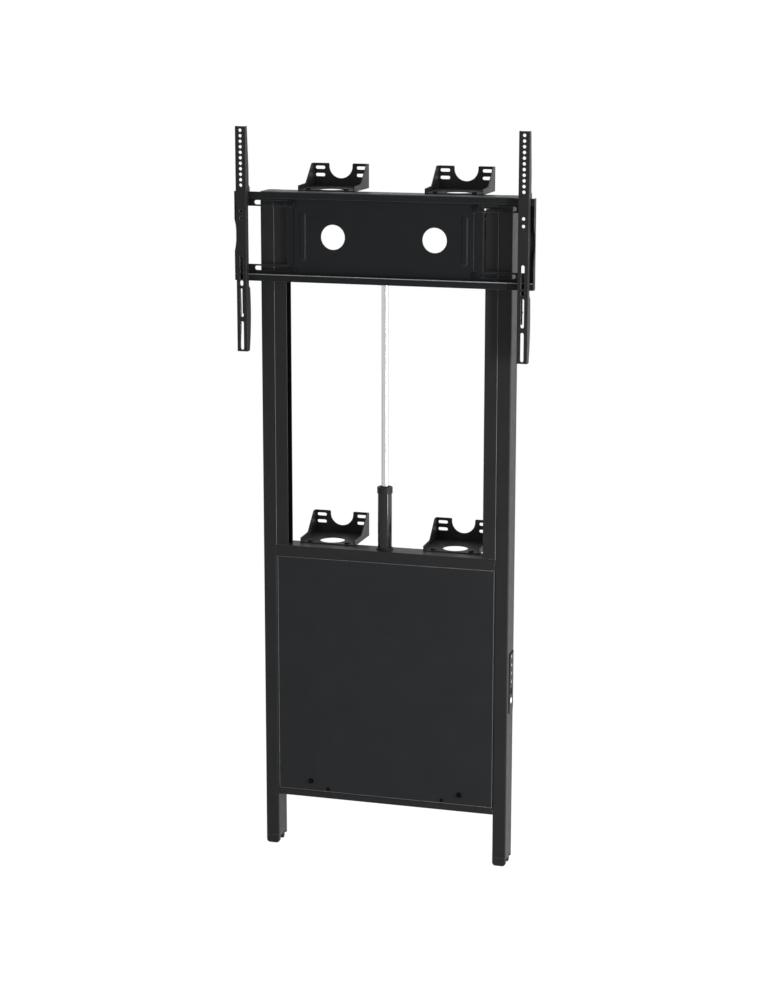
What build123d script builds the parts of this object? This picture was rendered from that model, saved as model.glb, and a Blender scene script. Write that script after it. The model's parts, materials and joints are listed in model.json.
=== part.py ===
from build123d import *

import os

# Motorised stand for a large flat screen: a black steel frame that stands on the floor and
# is fastened to the wall, an electric cylinder in its lower half, and a carriage with a
# slotted plate and two hanging arms that the cylinder raises and lowers.
# Millimetres, +X to the right, +Y to the wall, +Z up. The origin is on the floor, under the
# middle of the space that the stand takes up. At rest the carriage is at its highest.

# Overall
frame_width = 720.0
frame_height = 1905.0
arm_standoff = 47.0  # the arms' front ahead of the columns' front
wall_reach = 187.0  # the wall brackets' back behind the columns' front
lift_travel = 550.0
play = 0.3  # gap between pieces that pass each other
snug = 0.1  # gap round a screw, spigot or insert
running = 0.05  # gap round a turning or sliding shaft

# Columns and their ends
column_width = 39.0
column_depth = 75.0
column_wall = 2.5
column_corner = 4.0
cap_height = 3.0
spigot_depth = 14.0
foot_height = 25.0
foot_flat = 13.0
foot_step = 20.0  # the foot's underside behind its flat front
foot_rise = 11.0  # the foot's underside at the back
foot_edge = 10.0
wheel_radius = 10.0
wheel_width = 11.0
wheel_setback = 49.0
wheel_arch = 1.2
web_width = 12.0
wheel_axle_radius = 2.5

# Guide posts
post_width = 36.0
post_depth = 40.0
post_wall = 2.0

# Beams and lower panel
beam_height = 32.0
beam_depth = 70.0
beam_wall = 2.5
beam_corner = 4.0
mid_beam_top = 901.0
bottom_rail_base = 152.5
bottom_rail_height = 20.0
panel_thickness = 1.5
panel_inset = 2.0
panel_gap = 2.0
panel_flange = 12.0
tab_width = 84.0
tab_height = 42.0
tab_thickness = 3.0
big_screw_x = 222.0
big_screw_rise = 29.0
small_screw_x = 170.0
small_screw_rise = 8.5
panel_screw_radius = 2.5
big_head_radius = 6.5
small_head_radius = 4.0

# Wall brackets
bracket_offset = 182.5
bracket_width = 164.0
bracket_height = 68.0
bracket_sheet = 3.0
bracket_front = 46.0
bracket_lip = 14.5
bracket_knee = 66.0  # from the bracket's front to where its cheeks start to climb
bracket_knee_height = 16.5
bracket_knee_radius = 12.0
bracket_crest = 19.5
bracket_hole_radius = 36.0
bracket_hole_setback = 94.0
ear_corner = 3.5
notch_width = 68.5
notch_depth = 42.0
slot_length = 28.0
slot_height = 9.2
slot_offset = 60.5
slot_drop = 12.5
slot_pitch = 20.5
bolt_radius = 4.0
bolt_head_width = 13.0
bolt_head_height = 5.3
bolt_offset = 55.0
bolt_setback = 57.0

# Electric cylinder
cylinder_x = -9.5
cylinder_setback = 37.5
tube_radius = 20.0
tube_wall = 2.5
tube_cover = 60.0  # the tube's top above the rod's foot
collar_wall = 2.0
collar_height = 12.0
collar_skirt = 6.0
ring_radius = 23.5
ring_height = 5.0
rod_radius = 10.0
rod_wall = 3.0
travel_reserve = 148.5  # below the nut when the carriage is at its lowest
nut_height = 26.0
nut_clearance = 0.3
spindle_radius = 6.0
spindle_reach = 32.0  # the lifting screw's top above the rod's foot
journal_radius = 5.0
bearing_radius = 13.0
bearing_height = 9.0
eye_radius = 12.0
eye_thickness = 16.0
pin_radius = 5.0
pin_head_radius = 8.0
pin_head = 3.0
clevis_wall = 4.0
clevis_depth = 26.0
foot_bracket_depth = 46.0
foot_bracket_width = 80.0
foot_pin_rise = 33.0
housing_gap = 20.0  # the pin's centre to the gear housing's underside
housing_height = 60.0
housing_depth = 60.0
housing_left = 33.0
housing_right = 88.0
motor_offset = 56.0
motor_radius = 27.0
motor_height = 118.0
motor_cap_height = 14.0
motor_step = 4.0

# Control box
box_left = 130.0
box_length = 170.0
box_depth = 44.0
box_height = 62.0
box_setback = 16.0
box_wall = 2.5
lid_thickness = 3.0
board_thickness = 1.6
board_lift = 8.0
inlet_length = 48.0
inlet_height = 27.0
inlet_flange = 2.5
inlet_depth = 20.0
blade_pitch = 5.0
blade_width = 1.6
blade_height = 4.0
rocker_width = 9.0
rocker_height = 17.0
rocker_depth = 8.0
rocker_tip = 1.4

# Keypad on the right column's outer side
keypad_top = 627.0
keypad_length = 178.0
keypad_width = 52.0
keypad_setback = 45.0
keypad_face = 0.9
keypad_body = 12.0
keypad_rim = 5.0
key_length = 14.0
key_width = 18.0
key_height = 2.4  # below the column's face
key_proud = 1.5
key_travel = 1.0
key_pitch = 24.6
key_drop = 14.0
key_count = 4
dial_key_radius = 10.0
dial_drop = 116.0
lamp_radius = 6.5
lamp_drop = 143.0

# Screen plate
plate_width = 852.0
plate_rise = 1.0  # the plate's top above the columns' at rest
plate_height = 247.0
plate_mid_drop = 121.5
plate_sheet = 2.5
lip_standoff = 28.0
sheet_standoff = 12.0
lip_height = 15.0
end_dip_half = 43.5
end_dip_depth = 14.0
window_inner = 255.0
window_edge = 22.0  # from the plate's end
window_height = 161.0
window_corner = 5.0
plate_slot_edge = 53.3  # from the plate's end
plate_slot_start = 250.0
plate_slot_height = 12.0
plate_slot_rise = 91.0
view_hole_x = 145.0
view_hole_radius = 34.5
bead_x = 230.7
bead_width = 13.5
bead_length = 132.0
bead_height = 2.5
plate_screw_x = 261.0
plate_screw_radius = 4.0
washer_radius = 9.0
washer_thickness = 1.6
screw_head_radius = 6.5
screw_head_height = 4.5
thin_nut = 4.5

# Carriage between the guide posts
carriage_sheet = 3.0
carriage_gap = 4.0  # beside each post
carriage_rise = 100.0  # the front sheet above and below the plate's middle
cheek_rise = 77.5  # the deep part of a cheek above the plate's middle
cheek_depth = 30.0
cheek_step_drop = 62.5
crossbar_size = 30.0
crossbar_wall = 2.5
crossbar_drop = 98.5
roller_width = 12.0
roller_gap = 3.0  # the post's mouth to the roller
upper_roller_rise = 60.5
lower_roller_drop = 46.5
axle_radius = 5.0
axle_head_radius = 8.0
axle_head = 4.0
rod_pin_drop = 22.0
carriage_hole_radius = 43.0

# Hanging arms
arm_inset = 26.0  # an arm's middle from the plate's end
arm_width = 30.0
arm_above = 179.0  # above the plate's top
arm_below = 197.0  # below the plate's bottom
arm_sheet = 2.5
arm_fold = 1.5
arm_edge = 15.0  # the flanges' depth at the top
arm_neck = 25.0  # their depth above the plate
arm_taper = 114.0  # the height over which they deepen
arm_hole_radius = 4.5
arm_hole_drop = 11.0
arm_hole_pitch = 15.0
arm_hole_count = 11
lone_hole_drop = 53.0  # below the plate's top
lone_hole_pitch = 20.0
arm_slot_width = 9.0
arm_slots = ((4.0, 70.0), (-13.0, 2.0), (-100.0, -20.5), (-192.0, -112.5))  # from the plate's bottom
hook_reach = 12.0
hook_rise = 9.0
hook_drop = 13.0
belly_drop = 22.0  # where the flanges are deeper again, below the plate's bottom
belly_step = 7.0
belly_shoulder = 28.0
belly_depth = 32.0
belly_middle = 81.0  # where they are deepest, below the plate's bottom
belly_foot = 20.0
lock_width = 11.7
lock_sheet = 2.5
lock_drop = 91.0
lock_ledge_drop = 19.0
lock_finger = 29.0
lock_screw_radius = 3.0
knob_radius = 5.5
knob_height = 8.0
knob_drop = 59.0

# Worked out from the sizes above
column_front = (arm_standoff - wall_reach) / 2
column_x = (frame_width - column_width) / 2
column_inner = frame_width / 2 - column_width
column_y = column_front + column_depth / 2
spigot_width = column_width - 2 * column_wall - 2 * play
spigot_length = column_depth - 2 * column_wall - 2 * play
post_inner = column_inner - post_width
top_beam_base = frame_height - beam_height
mid_beam_base = mid_beam_top - beam_height
rail_top = bottom_rail_base + bottom_rail_height
cylinder_y = column_front + cylinder_setback
foot_pin_z = rail_top + foot_pin_rise
housing_base = foot_pin_z + housing_gap
housing_top = housing_base + housing_height
rod_foot = housing_top + travel_reserve + lift_travel + nut_height
tube_top = rod_foot + tube_cover
spindle_top = rod_foot + spindle_reach
bearing_bore = journal_radius + running
tube_bore = tube_radius - tube_wall
rod_bore = rod_radius - rod_wall
plate_top = frame_height + plate_rise
plate_bottom = plate_top - plate_height
plate_mid = plate_top - plate_mid_drop
crossbar_bottom = plate_mid - crossbar_drop
upper_roller = plate_mid + upper_roller_rise
lower_roller = plate_mid - lower_roller_drop
rod_pin_z = crossbar_bottom - rod_pin_drop
ear_gap = eye_thickness + 2 * play
sheet_front = column_front - sheet_standoff
sheet_back = sheet_front + plate_sheet
lip_front = column_front - lip_standoff
lip_back = lip_front + plate_sheet
upper_flange = plate_top - lip_height
lower_flange = plate_bottom + lip_height
carriage_half = post_inner - carriage_gap
carriage_back = sheet_back + carriage_sheet
roller_y = column_front + post_depth / 2
roller_radius = post_depth / 2 - post_wall - play
roller_inner = post_inner + roller_gap
arm_x = plate_width / 2 - arm_inset
arm_top = plate_top + arm_above
arm_bottom = plate_bottom - arm_below
arm_front = column_front - arm_standoff
arm_back = arm_front + arm_sheet
lock_x = arm_x - arm_width / 2 + arm_sheet + play + lock_width / 2
lock_ledge = plate_bottom - lock_ledge_drop
knob_z = plate_bottom - knob_drop
screw_rows = (plate_mid - plate_slot_rise, plate_mid + plate_slot_rise)
panel_front = column_front + panel_inset
keypad_y = column_front + keypad_setback
box_front = column_front + box_setback
box_back = box_front + box_depth
SIDES = {"left": -1, "right": 1}


def write(name, piece):
    """Label a finished piece and write it to its own file."""
    piece.part.label = name
    export_step(piece.part, f"parts/{name}.step")


def span(low, high):
    """Middle and length of the stretch from low to high."""
    return (low + high) / 2, high - low


def block(x_range, y_range, z_range, mode=Mode.ADD):
    """Box between two limits on each axis, for use inside a part block."""
    x_mid, x_size = span(*x_range)
    y_mid, y_size = span(*y_range)
    z_mid, z_size = span(*z_range)
    with Locations((x_mid, y_mid, z_mid)):
        Box(x_size, y_size, z_size, mode=mode)


def ring_between(x, y, low, high, outer, bore):
    """Upright tube about a vertical axis."""
    with BuildPart() as ring:
        with BuildSketch(Plane.XY.offset(low)):
            with Locations((x, y)):
                Circle(outer)
                Circle(bore, mode=Mode.SUBTRACT)
        extrude(amount=high - low)
    return ring


def cylinder_along_x(x_low, x_high, y, z, radius, mode=Mode.ADD):
    """Round bar along X, for use inside a part block."""
    with BuildSketch(Plane.YZ.offset(x_low)) as disc:
        with Locations((y, z)):
            Circle(radius)
    extrude(disc.sketch, amount=x_high - x_low, mode=mode)


def cylinder_along_y(x, y_low, y_high, z, radius, mode=Mode.ADD):
    """Round bar along Y, for use inside a part block."""
    with BuildSketch(Plane.XZ.offset(-y_high)) as disc:
        with Locations((x, z)):
            Circle(radius)
    extrude(disc.sketch, amount=y_high - y_low, mode=mode)


# Columns, their caps and feet

def make_column(side):
    """Tall rectangular tube; the right one has the keypad's cut-out in its outer wall."""
    with BuildPart() as column:
        with BuildSketch(Plane.XY.offset(foot_height)):
            with Locations((side * column_x, column_y)):
                RectangleRounded(column_width, column_depth, column_corner)
                RectangleRounded(
                    column_width - 2 * column_wall,
                    column_depth - 2 * column_wall,
                    max(column_corner - column_wall, play),
                    mode=Mode.SUBTRACT,
                )
        extrude(amount=frame_height - cap_height - foot_height)
        if side > 0:
            outer = frame_width / 2
            half = keypad_width / 2 - keypad_rim + snug
            block(
                (outer - 2 * column_wall, outer + play),
                (keypad_y - half, keypad_y + half),
                (keypad_top - keypad_length + keypad_rim - snug, keypad_top - keypad_rim + snug),
                mode=Mode.SUBTRACT,
            )
    return column


def make_column_caps():
    """Plastic plugs in the columns' upper ends."""
    with BuildPart() as caps:
        for side in SIDES.values():
            with BuildSketch(Plane.XY.offset(frame_height - cap_height)):
                with Locations((side * column_x, column_y)):
                    RectangleRounded(column_width, column_depth, column_corner)
            extrude(amount=cap_height)
            with BuildSketch(Plane.XY.offset(frame_height - cap_height)):
                with Locations((side * column_x, column_y)):
                    RectangleRounded(spigot_width, spigot_length, column_corner)
            extrude(amount=-spigot_depth)
    return caps


def make_foot(side):
    """Moulded foot plugged into a column: a flat front, and arches behind it for two wheels."""
    x = side * column_x
    wheel_y = column_front + wheel_setback
    with BuildPart() as foot:
        with BuildSketch(Plane.YZ.offset(x - column_width / 2)):
            with BuildLine():
                Polyline(
                    (column_front, 0),
                    (column_front + foot_flat, 0),
                    (column_front + foot_flat, foot_step),
                    (column_front + column_depth, foot_rise),
                    (column_front + column_depth, foot_height),
                    (column_front, foot_height),
                    close=True,
                )
            make_face()
        extrude(amount=column_width)
        bottom_sides = foot.edges().filter_by(Axis.Y).group_by(Axis.Z)[0]
        fillet(bottom_sides, radius=foot_edge)
        uprights = foot.edges().filter_by(Axis.Z).group_by(Axis.Y)
        fillet(uprights[0] + uprights[-1], radius=column_corner)
        with BuildSketch(Plane.XY.offset(foot_height)):
            with Locations((x, column_y)):
                RectangleRounded(spigot_width, spigot_length, column_corner)
        extrude(amount=spigot_depth)
        for hand in (-1, 1):
            low, high = sorted((x + hand * web_width / 2, x + hand * column_width))
            cylinder_along_x(
                low, high, wheel_y, wheel_radius, wheel_radius + wheel_arch, mode=Mode.SUBTRACT
            )
        block(
            (x - web_width / 2, x + web_width / 2),
            (wheel_y - 3 * wheel_axle_radius, wheel_y + 2 * wheel_axle_radius),
            (wheel_radius, foot_height),
        )
        cylinder_along_x(
            x - web_width / 2, x + web_width / 2, wheel_y, wheel_radius, 2 * wheel_axle_radius
        )
        cylinder_along_x(
            x - web_width / 2 - play,
            x + web_width / 2 + play,
            wheel_y,
            wheel_radius,
            wheel_axle_radius + running,
            mode=Mode.SUBTRACT,
        )
    return foot


def wheel_places(x):
    """Middles of the two wheels, one on each side of the foot's web."""
    step = web_width / 2 + play + wheel_width / 2
    return x - step, x + step


def make_wheels(side):
    """Pair of small transport wheels, pressed on one axle."""
    x = side * column_x
    wheel_y = column_front + wheel_setback
    with BuildPart() as wheels:
        for wheel_x in wheel_places(x):
            with BuildSketch(Plane.YZ.offset(wheel_x - wheel_width / 2)):
                with Locations((wheel_y, wheel_radius)):
                    Circle(wheel_radius)
                    Circle(wheel_axle_radius, mode=Mode.SUBTRACT)
            extrude(amount=wheel_width)
        rims = wheels.edges().filter_by(GeomType.CIRCLE).sort_by(SortBy.RADIUS)[-4:]
        fillet(rims, radius=wheel_width / 6)
    return wheels


def make_wheel_axle(side):
    """Axle through the foot's web, its ends flush with the wheels."""
    x = side * column_x
    low, high = wheel_places(x)
    with BuildPart() as axle:
        cylinder_along_x(
            low - wheel_width / 2,
            high + wheel_width / 2,
            column_front + wheel_setback,
            wheel_radius,
            wheel_axle_radius,
        )
    return axle


# Guide posts and beams

def make_guide_post(side):
    """Channel beside a column, open to the middle, in which the rollers run."""
    mouth = side * post_inner
    outer = side * column_inner
    with BuildPart() as post:
        with BuildSketch(Plane.XY.offset(mid_beam_top)):
            with Locations(((mouth + outer) / 2, column_front + post_depth / 2)):
                Rectangle(post_width, post_depth)
            with Locations((mouth + side * (post_width - post_wall) / 2, column_front + post_depth / 2)):
                Rectangle(post_width - post_wall, post_depth - 2 * post_wall, mode=Mode.SUBTRACT)
        extrude(amount=top_beam_base - mid_beam_top)
        corners = post.edges().filter_by(Axis.Z).sort_by(Axis.X)
        fillet(corners[:2] if side > 0 else corners[-2:], radius=post_wall / 3)
    return post


def tube_along_x(half_length, depth, low, high, wall, corner):
    """Rectangular tube along X, flush with the columns' front, for use inside a part block."""
    y = column_front + depth / 2
    z, height = span(low, high)
    with BuildSketch(Plane.YZ.offset(-half_length)) as outline:
        with Locations((y, z)):
            RectangleRounded(depth, height, corner)
            RectangleRounded(
                depth - 2 * wall, height - 2 * wall, max(corner - wall, play), mode=Mode.SUBTRACT
            )
    extrude(outline.sketch, amount=2 * half_length)


def bracket_bolt_places():
    """Places of the bolts that hold the wall brackets to the beams."""
    return [
        (side * bracket_offset + hand * bolt_offset, column_front + bolt_setback)
        for side in SIDES.values()
        for hand in (-1, 1)
    ]


def make_top_beam():
    """Beam between the columns' upper ends, threaded for the wall brackets' bolts."""
    with BuildPart() as beam:
        tube_along_x(
            column_inner, column_depth, top_beam_base, frame_height, beam_wall, beam_corner
        )
        with BuildSketch(Plane.XY.offset(frame_height)):
            with Locations(*bracket_bolt_places()):
                Circle(bolt_radius + snug)
        extrude(amount=-beam_height / 2, mode=Mode.SUBTRACT)
    return beam


def make_mid_beam():
    """Beam at mid height, threaded like the top one and bored for the cylinder's tube."""
    with BuildPart() as beam:
        tube_along_x(
            column_inner, beam_depth, mid_beam_base, mid_beam_top, beam_wall, beam_corner
        )
        with BuildSketch(Plane.XY.offset(mid_beam_top)):
            with Locations(*bracket_bolt_places()):
                Circle(bolt_radius + snug)
        extrude(amount=-beam_height / 2, mode=Mode.SUBTRACT)
        with BuildSketch(Plane.XY.offset(mid_beam_base)):
            with Locations((cylinder_x, cylinder_y)):
                Circle(tube_radius + 2 * play)
        extrude(amount=beam_height, mode=Mode.SUBTRACT)
    return beam


def tab_blocks(slack):
    """X limits of the two upright tabs on the bottom rail, widened by slack."""
    for side in SIDES.values():
        middle = side * (big_screw_x + small_screw_x) / 2
        yield middle - tab_width / 2 - slack, middle + tab_width / 2 + slack


def make_bottom_rail():
    """Flat tube between the columns' lower ends, with tabs for the panel's screws."""
    tab_front = panel_front + panel_thickness
    with BuildPart() as rail:
        tube_along_x(
            column_inner, beam_depth, bottom_rail_base, rail_top, beam_wall, beam_corner
        )
        for x_range in tab_blocks(0):
            block(
                x_range,
                (tab_front, tab_front + tab_thickness),
                (rail_top - beam_wall / 2, rail_top + tab_height),
            )
        for x, z, _, _ in panel_screws():
            cylinder_along_y(
                x, tab_front - play, tab_front + tab_thickness + play, z,
                panel_screw_radius + snug, mode=Mode.SUBTRACT,
            )
    return rail


# Front panel

def panel_screws():
    """X, height, head radius and head depth of each panel screw."""
    for side in SIDES.values():
        yield side * big_screw_x, rail_top + big_screw_rise, big_head_radius, 5.0
        yield side * small_screw_x, rail_top + small_screw_rise, small_head_radius, 2.5


def make_front_panel():
    """Sheet tray between the columns, its edges folded back all round."""
    half = column_inner - panel_gap
    low = rail_top
    high = mid_beam_base - play
    with BuildPart() as panel:
        block((-half, half), (panel_front, panel_front + panel_flange), (low, high))
        block(
            (-half + panel_thickness, half - panel_thickness),
            (panel_front + panel_thickness, panel_front + panel_flange + play),
            (low + panel_thickness, high - panel_thickness),
            mode=Mode.SUBTRACT,
        )
        front_edges = panel.edges().group_by(Axis.Y)[0]
        fillet(front_edges, radius=panel_thickness * 0.6)
        for x_range in tab_blocks(play):
            block(
                x_range,
                (panel_front + panel_thickness, panel_front + panel_flange + play),
                (low - play, low + 2 * panel_thickness),
                mode=Mode.SUBTRACT,
            )
        for x, z, _, _ in panel_screws():
            cylinder_along_y(
                x, panel_front - play, panel_front + 2 * panel_thickness, z,
                panel_screw_radius + snug, mode=Mode.SUBTRACT,
            )
    return panel


def make_panel_screws():
    """Two thumb screws and two small screws in the panel's lower edge."""
    with BuildPart() as screws:
        for x, z, head_radius, head_depth in panel_screws():
            cylinder_along_y(x, panel_front - head_depth, panel_front, z, head_radius)
            cylinder_along_y(
                x, panel_front, panel_front + panel_thickness + tab_thickness + 2, z,
                panel_screw_radius,
            )
    return screws


# Wall brackets

def make_wall_bracket(side, level):
    """Folded bracket on a beam: holed base, tapering cheeks and a slotted, notched back."""
    x = side * bracket_offset
    half = bracket_width / 2
    front = column_front + bracket_front
    back = column_front + wall_reach
    top = level + bracket_height
    knee_y = front + bracket_knee
    with BuildPart() as bracket:
        block((x - half, x + half), (front, back), (level, level + bracket_sheet))
        block((x - half, x + half), (back - bracket_sheet, back), (level, top))
        for cheek in (x - half, x + half - bracket_sheet):
            with BuildSketch(Plane.YZ.offset(cheek)) as outline:
                with BuildLine():
                    Polyline(
                        (front, level),
                        (front, level + bracket_lip),
                        (knee_y, level + bracket_knee_height),
                        (back - bracket_crest, top),
                        (back, top),
                        (back, level),
                        close=True,
                    )
                make_face()
                knee = outline.vertices().filter_by_position(Axis.X, knee_y - play, knee_y + play)
                fillet(knee, radius=bracket_knee_radius)
            extrude(amount=bracket_sheet)
        with BuildSketch(Plane.XZ.offset(-back)):
            with Locations((x, top - notch_depth + notch_width / 2)):
                Circle(notch_width / 2)
            with Locations((x, top)):
                Rectangle(notch_width, 2 * notch_depth - notch_width)
            with Locations(*bracket_slot_places(x, top)):
                SlotOverall(slot_length, slot_height)
        extrude(amount=2 * bracket_sheet, mode=Mode.SUBTRACT)
        tops = bracket.edges().filter_by(Axis.Y).group_by(Axis.Z)[-1].sort_by(SortBy.LENGTH)
        fillet(tops[:2], radius=ear_corner)
        with BuildSketch(Plane.XY.offset(level)):
            with Locations((x, column_front + bracket_hole_setback)):
                Circle(bracket_hole_radius)
            with Locations(
                (x - bolt_offset, column_front + bolt_setback),
                (x + bolt_offset, column_front + bolt_setback),
            ):
                Circle(bolt_radius + snug)
        extrude(amount=bracket_sheet, mode=Mode.SUBTRACT)
    return bracket


def bracket_slot_places(x, top):
    """Middles of a bracket's four wall-screw slots."""
    return [
        (x + hand * slot_offset, top - slot_drop - row * slot_pitch)
        for hand in (-1, 1)
        for row in (0, 1)
    ]


def make_bracket_bolts():
    """Hexagon bolts that hold the four wall brackets to the beams."""
    with BuildPart() as bolts:
        for level in (mid_beam_top, frame_height):
            seat = level + bracket_sheet
            with BuildSketch(Plane.XY.offset(seat)):
                with Locations(*bracket_bolt_places()):
                    RegularPolygon(bolt_head_width / 2, 6, major_radius=False)
            extrude(amount=bolt_head_height)
            with BuildSketch(Plane.XY.offset(seat)):
                with Locations(*bracket_bolt_places()):
                    Circle(bolt_radius)
            extrude(amount=-bracket_sheet - 2 * beam_wall - play)
    return bolts


# Electric cylinder

def make_actuator_foot():
    """Forked bracket on the bottom rail that carries the cylinder's pin."""
    ear_in = ear_gap / 2
    ear_top = foot_pin_z + 2 * pin_radius
    with BuildPart() as bracket:
        block(
            (cylinder_x - foot_bracket_width / 2, cylinder_x + foot_bracket_width / 2),
            (cylinder_y - foot_bracket_depth / 2, cylinder_y + foot_bracket_depth / 2),
            (rail_top, rail_top + clevis_wall),
        )
        for hand in (-1, 1):
            near = cylinder_x + hand * ear_in
            far = near + hand * clevis_wall
            block(
                (min(near, far), max(near, far)),
                (cylinder_y - clevis_depth / 2, cylinder_y + clevis_depth / 2),
                (rail_top, ear_top),
            )
        cylinder_along_x(
            cylinder_x - 2 * ear_gap, cylinder_x + 2 * ear_gap, cylinder_y, foot_pin_z,
            pin_radius + running, mode=Mode.SUBTRACT,
        )
    return bracket


def make_pin(z):
    """Headed pin along X through a fork and an eye."""
    reach = ear_gap / 2 + clevis_wall
    with BuildPart() as pin:
        cylinder_along_x(cylinder_x - reach, cylinder_x + reach + pin_head, cylinder_y, z, pin_radius)
        cylinder_along_x(
            cylinder_x - reach - pin_head, cylinder_x - reach, cylinder_y, z, pin_head_radius
        )
        cylinder_along_x(
            cylinder_x + reach, cylinder_x + reach + pin_head, cylinder_y, z, pin_head_radius
        )
    return pin


def make_gear_housing():
    """Cast housing at the cylinder's foot, with its eye, the screw's bearing seat and gear space."""
    x_range = (cylinder_x - housing_left, cylinder_x + housing_right)
    y_range = (cylinder_y - housing_depth / 2, cylinder_y + housing_depth / 2)
    with BuildPart() as housing:
        block(x_range, y_range, (housing_base, housing_top))
        fillet(housing.edges().filter_by(Axis.Z), radius=housing_depth / 7)
        fillet(housing.faces().sort_by(Axis.Z)[0].edges(), radius=housing_depth / 20)
        with BuildSketch(Plane.YZ.offset(cylinder_x - eye_thickness / 2)):
            with Locations((cylinder_y, foot_pin_z)):
                Circle(eye_radius)
            with Locations((cylinder_y, (foot_pin_z + housing_base + eye_radius / 2) / 2)):
                Rectangle(2 * eye_radius, housing_base + eye_radius / 2 - foot_pin_z)
        extrude(amount=eye_thickness)
        cylinder_along_x(
            cylinder_x - eye_thickness, cylinder_x + eye_thickness, cylinder_y, foot_pin_z,
            pin_radius + running, mode=Mode.SUBTRACT,
        )
        with BuildSketch(Plane.XY.offset(housing_top)):
            with Locations((cylinder_x, cylinder_y)):
                Circle(bearing_radius)
        extrude(amount=-bearing_height, mode=Mode.SUBTRACT)
        with BuildSketch(Plane.XY.offset(housing_top)):
            with Locations((cylinder_x, cylinder_y)):
                Circle(journal_radius + play)
        extrude(amount=-housing_height / 2, mode=Mode.SUBTRACT)
    return housing


def make_motor():
    """Upright motor on the gear housing, beside the tube."""
    with BuildPart() as motor:
        with BuildSketch(Plane.XY.offset(housing_top)):
            with Locations((cylinder_x + motor_offset, cylinder_y)):
                Circle(motor_radius)
        extrude(amount=motor_height)
        with BuildSketch(Plane.XY.offset(housing_top + motor_height)):
            with Locations((cylinder_x + motor_offset, cylinder_y)):
                Circle(motor_radius - motor_step)
        extrude(amount=motor_cap_height)
        fillet(motor.faces().sort_by(Axis.Z)[-1].edges(), radius=motor_cap_height / 4)
    return motor


def make_tube_collar():
    """Cap on the tube's upper end, bored for the rod."""
    outer = tube_radius + collar_wall
    with BuildPart() as collar:
        with BuildSketch(Plane.XY.offset(tube_top - collar_skirt)):
            with Locations((cylinder_x, cylinder_y)):
                Circle(outer)
        extrude(amount=collar_skirt + collar_height)
        fillet(collar.faces().sort_by(Axis.Z)[-1].edges(), radius=collar_wall)
        with BuildSketch(Plane.XY.offset(tube_top - collar_skirt)):
            with Locations((cylinder_x, cylinder_y)):
                Circle(tube_radius + snug)
        extrude(amount=collar_skirt, mode=Mode.SUBTRACT)
        with BuildSketch(Plane.XY.offset(tube_top - collar_skirt)):
            with Locations((cylinder_x, cylinder_y)):
                Circle(rod_radius + running)
        extrude(amount=collar_skirt + collar_height, mode=Mode.SUBTRACT)
    return collar


def make_spindle():
    """Lifting screw that turns in the bearing, drawn as its smooth outer shape."""
    with BuildPart() as spindle:
        with BuildSketch(Plane.XY.offset(housing_top + play)):
            with Locations((cylinder_x, cylinder_y)):
                Circle(spindle_radius)
        extrude(amount=spindle_top - housing_top - play)
        chamfer(spindle.faces().sort_by(Axis.Z)[-1].edges(), length=spindle_radius / 6)
        with BuildSketch(Plane.XY.offset(housing_top + play)):
            with Locations((cylinder_x, cylinder_y)):
                Circle(journal_radius)
        extrude(amount=-housing_height / 2 + play)
    return spindle


def make_actuator_rod():
    """Hollow bright rod that ends in an eye."""
    with BuildPart() as rod:
        with BuildSketch(Plane.XY.offset(rod_foot)):
            with Locations((cylinder_x, cylinder_y)):
                Circle(rod_radius)
        extrude(amount=rod_pin_z - rod_foot)
        with BuildSketch(Plane.XY.offset(rod_foot)):
            with Locations((cylinder_x, cylinder_y)):
                Circle(rod_bore)
        extrude(amount=rod_pin_z - 2 * eye_radius - rod_foot, mode=Mode.SUBTRACT)
        cylinder_along_x(
            cylinder_x - eye_thickness / 2, cylinder_x + eye_thickness / 2, cylinder_y, rod_pin_z,
            eye_radius,
        )
        for hand in (-1, 1):
            near = cylinder_x + hand * eye_thickness / 2
            far = cylinder_x + hand * 2 * rod_radius
            block(
                (min(near, far), max(near, far)),
                (cylinder_y - 2 * rod_radius, cylinder_y + 2 * rod_radius),
                (rod_pin_z - eye_radius - 3 * play, rod_pin_z + eye_radius),
                mode=Mode.SUBTRACT,
            )
        cylinder_along_x(
            cylinder_x - eye_thickness, cylinder_x + eye_thickness, cylinder_y, rod_pin_z,
            pin_radius + running, mode=Mode.SUBTRACT,
        )
    return rod


# Control box

def make_control_box():
    """Open-topped case on the bottom rail, with an opening for the mains inlet."""
    x_range = (box_left, box_left + box_length)
    with BuildPart() as box:
        block(x_range, (box_front, box_back), (rail_top, rail_top + box_height))
        fillet(box.edges().filter_by(Axis.Z), radius=box_wall)
        block(
            (x_range[0] + box_wall, x_range[1] - box_wall),
            (box_front + box_wall, box_back - box_wall),
            (rail_top + box_wall, rail_top + box_height + play),
            mode=Mode.SUBTRACT,
        )
        x, width, height = inlet_body()
        block(
            (x - width / 2 - snug, x + width / 2 + snug),
            (box_back - 2 * box_wall, box_back + play),
            (insert_z() - height / 2 - snug, insert_z() + height / 2 + snug),
            mode=Mode.SUBTRACT,
        )
        for x in board_posts():
            block(
                (x - box_wall, x + box_wall),
                (box_front + 2 * box_wall, box_back - inlet_depth - box_wall),
                (rail_top + box_wall, rail_top + board_lift),
            )
    return box


def insert_z():
    """Height of the inlet's middle."""
    return rail_top + box_height / 2 + box_wall


def inlet_body():
    """X middle, width and height of the inlet's body behind its face."""
    return box_left + box_length * 0.4, inlet_length - 4 * inlet_flange, inlet_height - 2 * inlet_flange


def rocker_x():
    """X of the mains switch, a wall's thickness inside the inlet's right edge."""
    x, width, _ = inlet_body()
    return x + width / 2 - box_wall - rocker_width / 2


def board_posts():
    """X of the two posts under the circuit board."""
    return box_left + box_length * 0.15, box_left + box_length * 0.85


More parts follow.
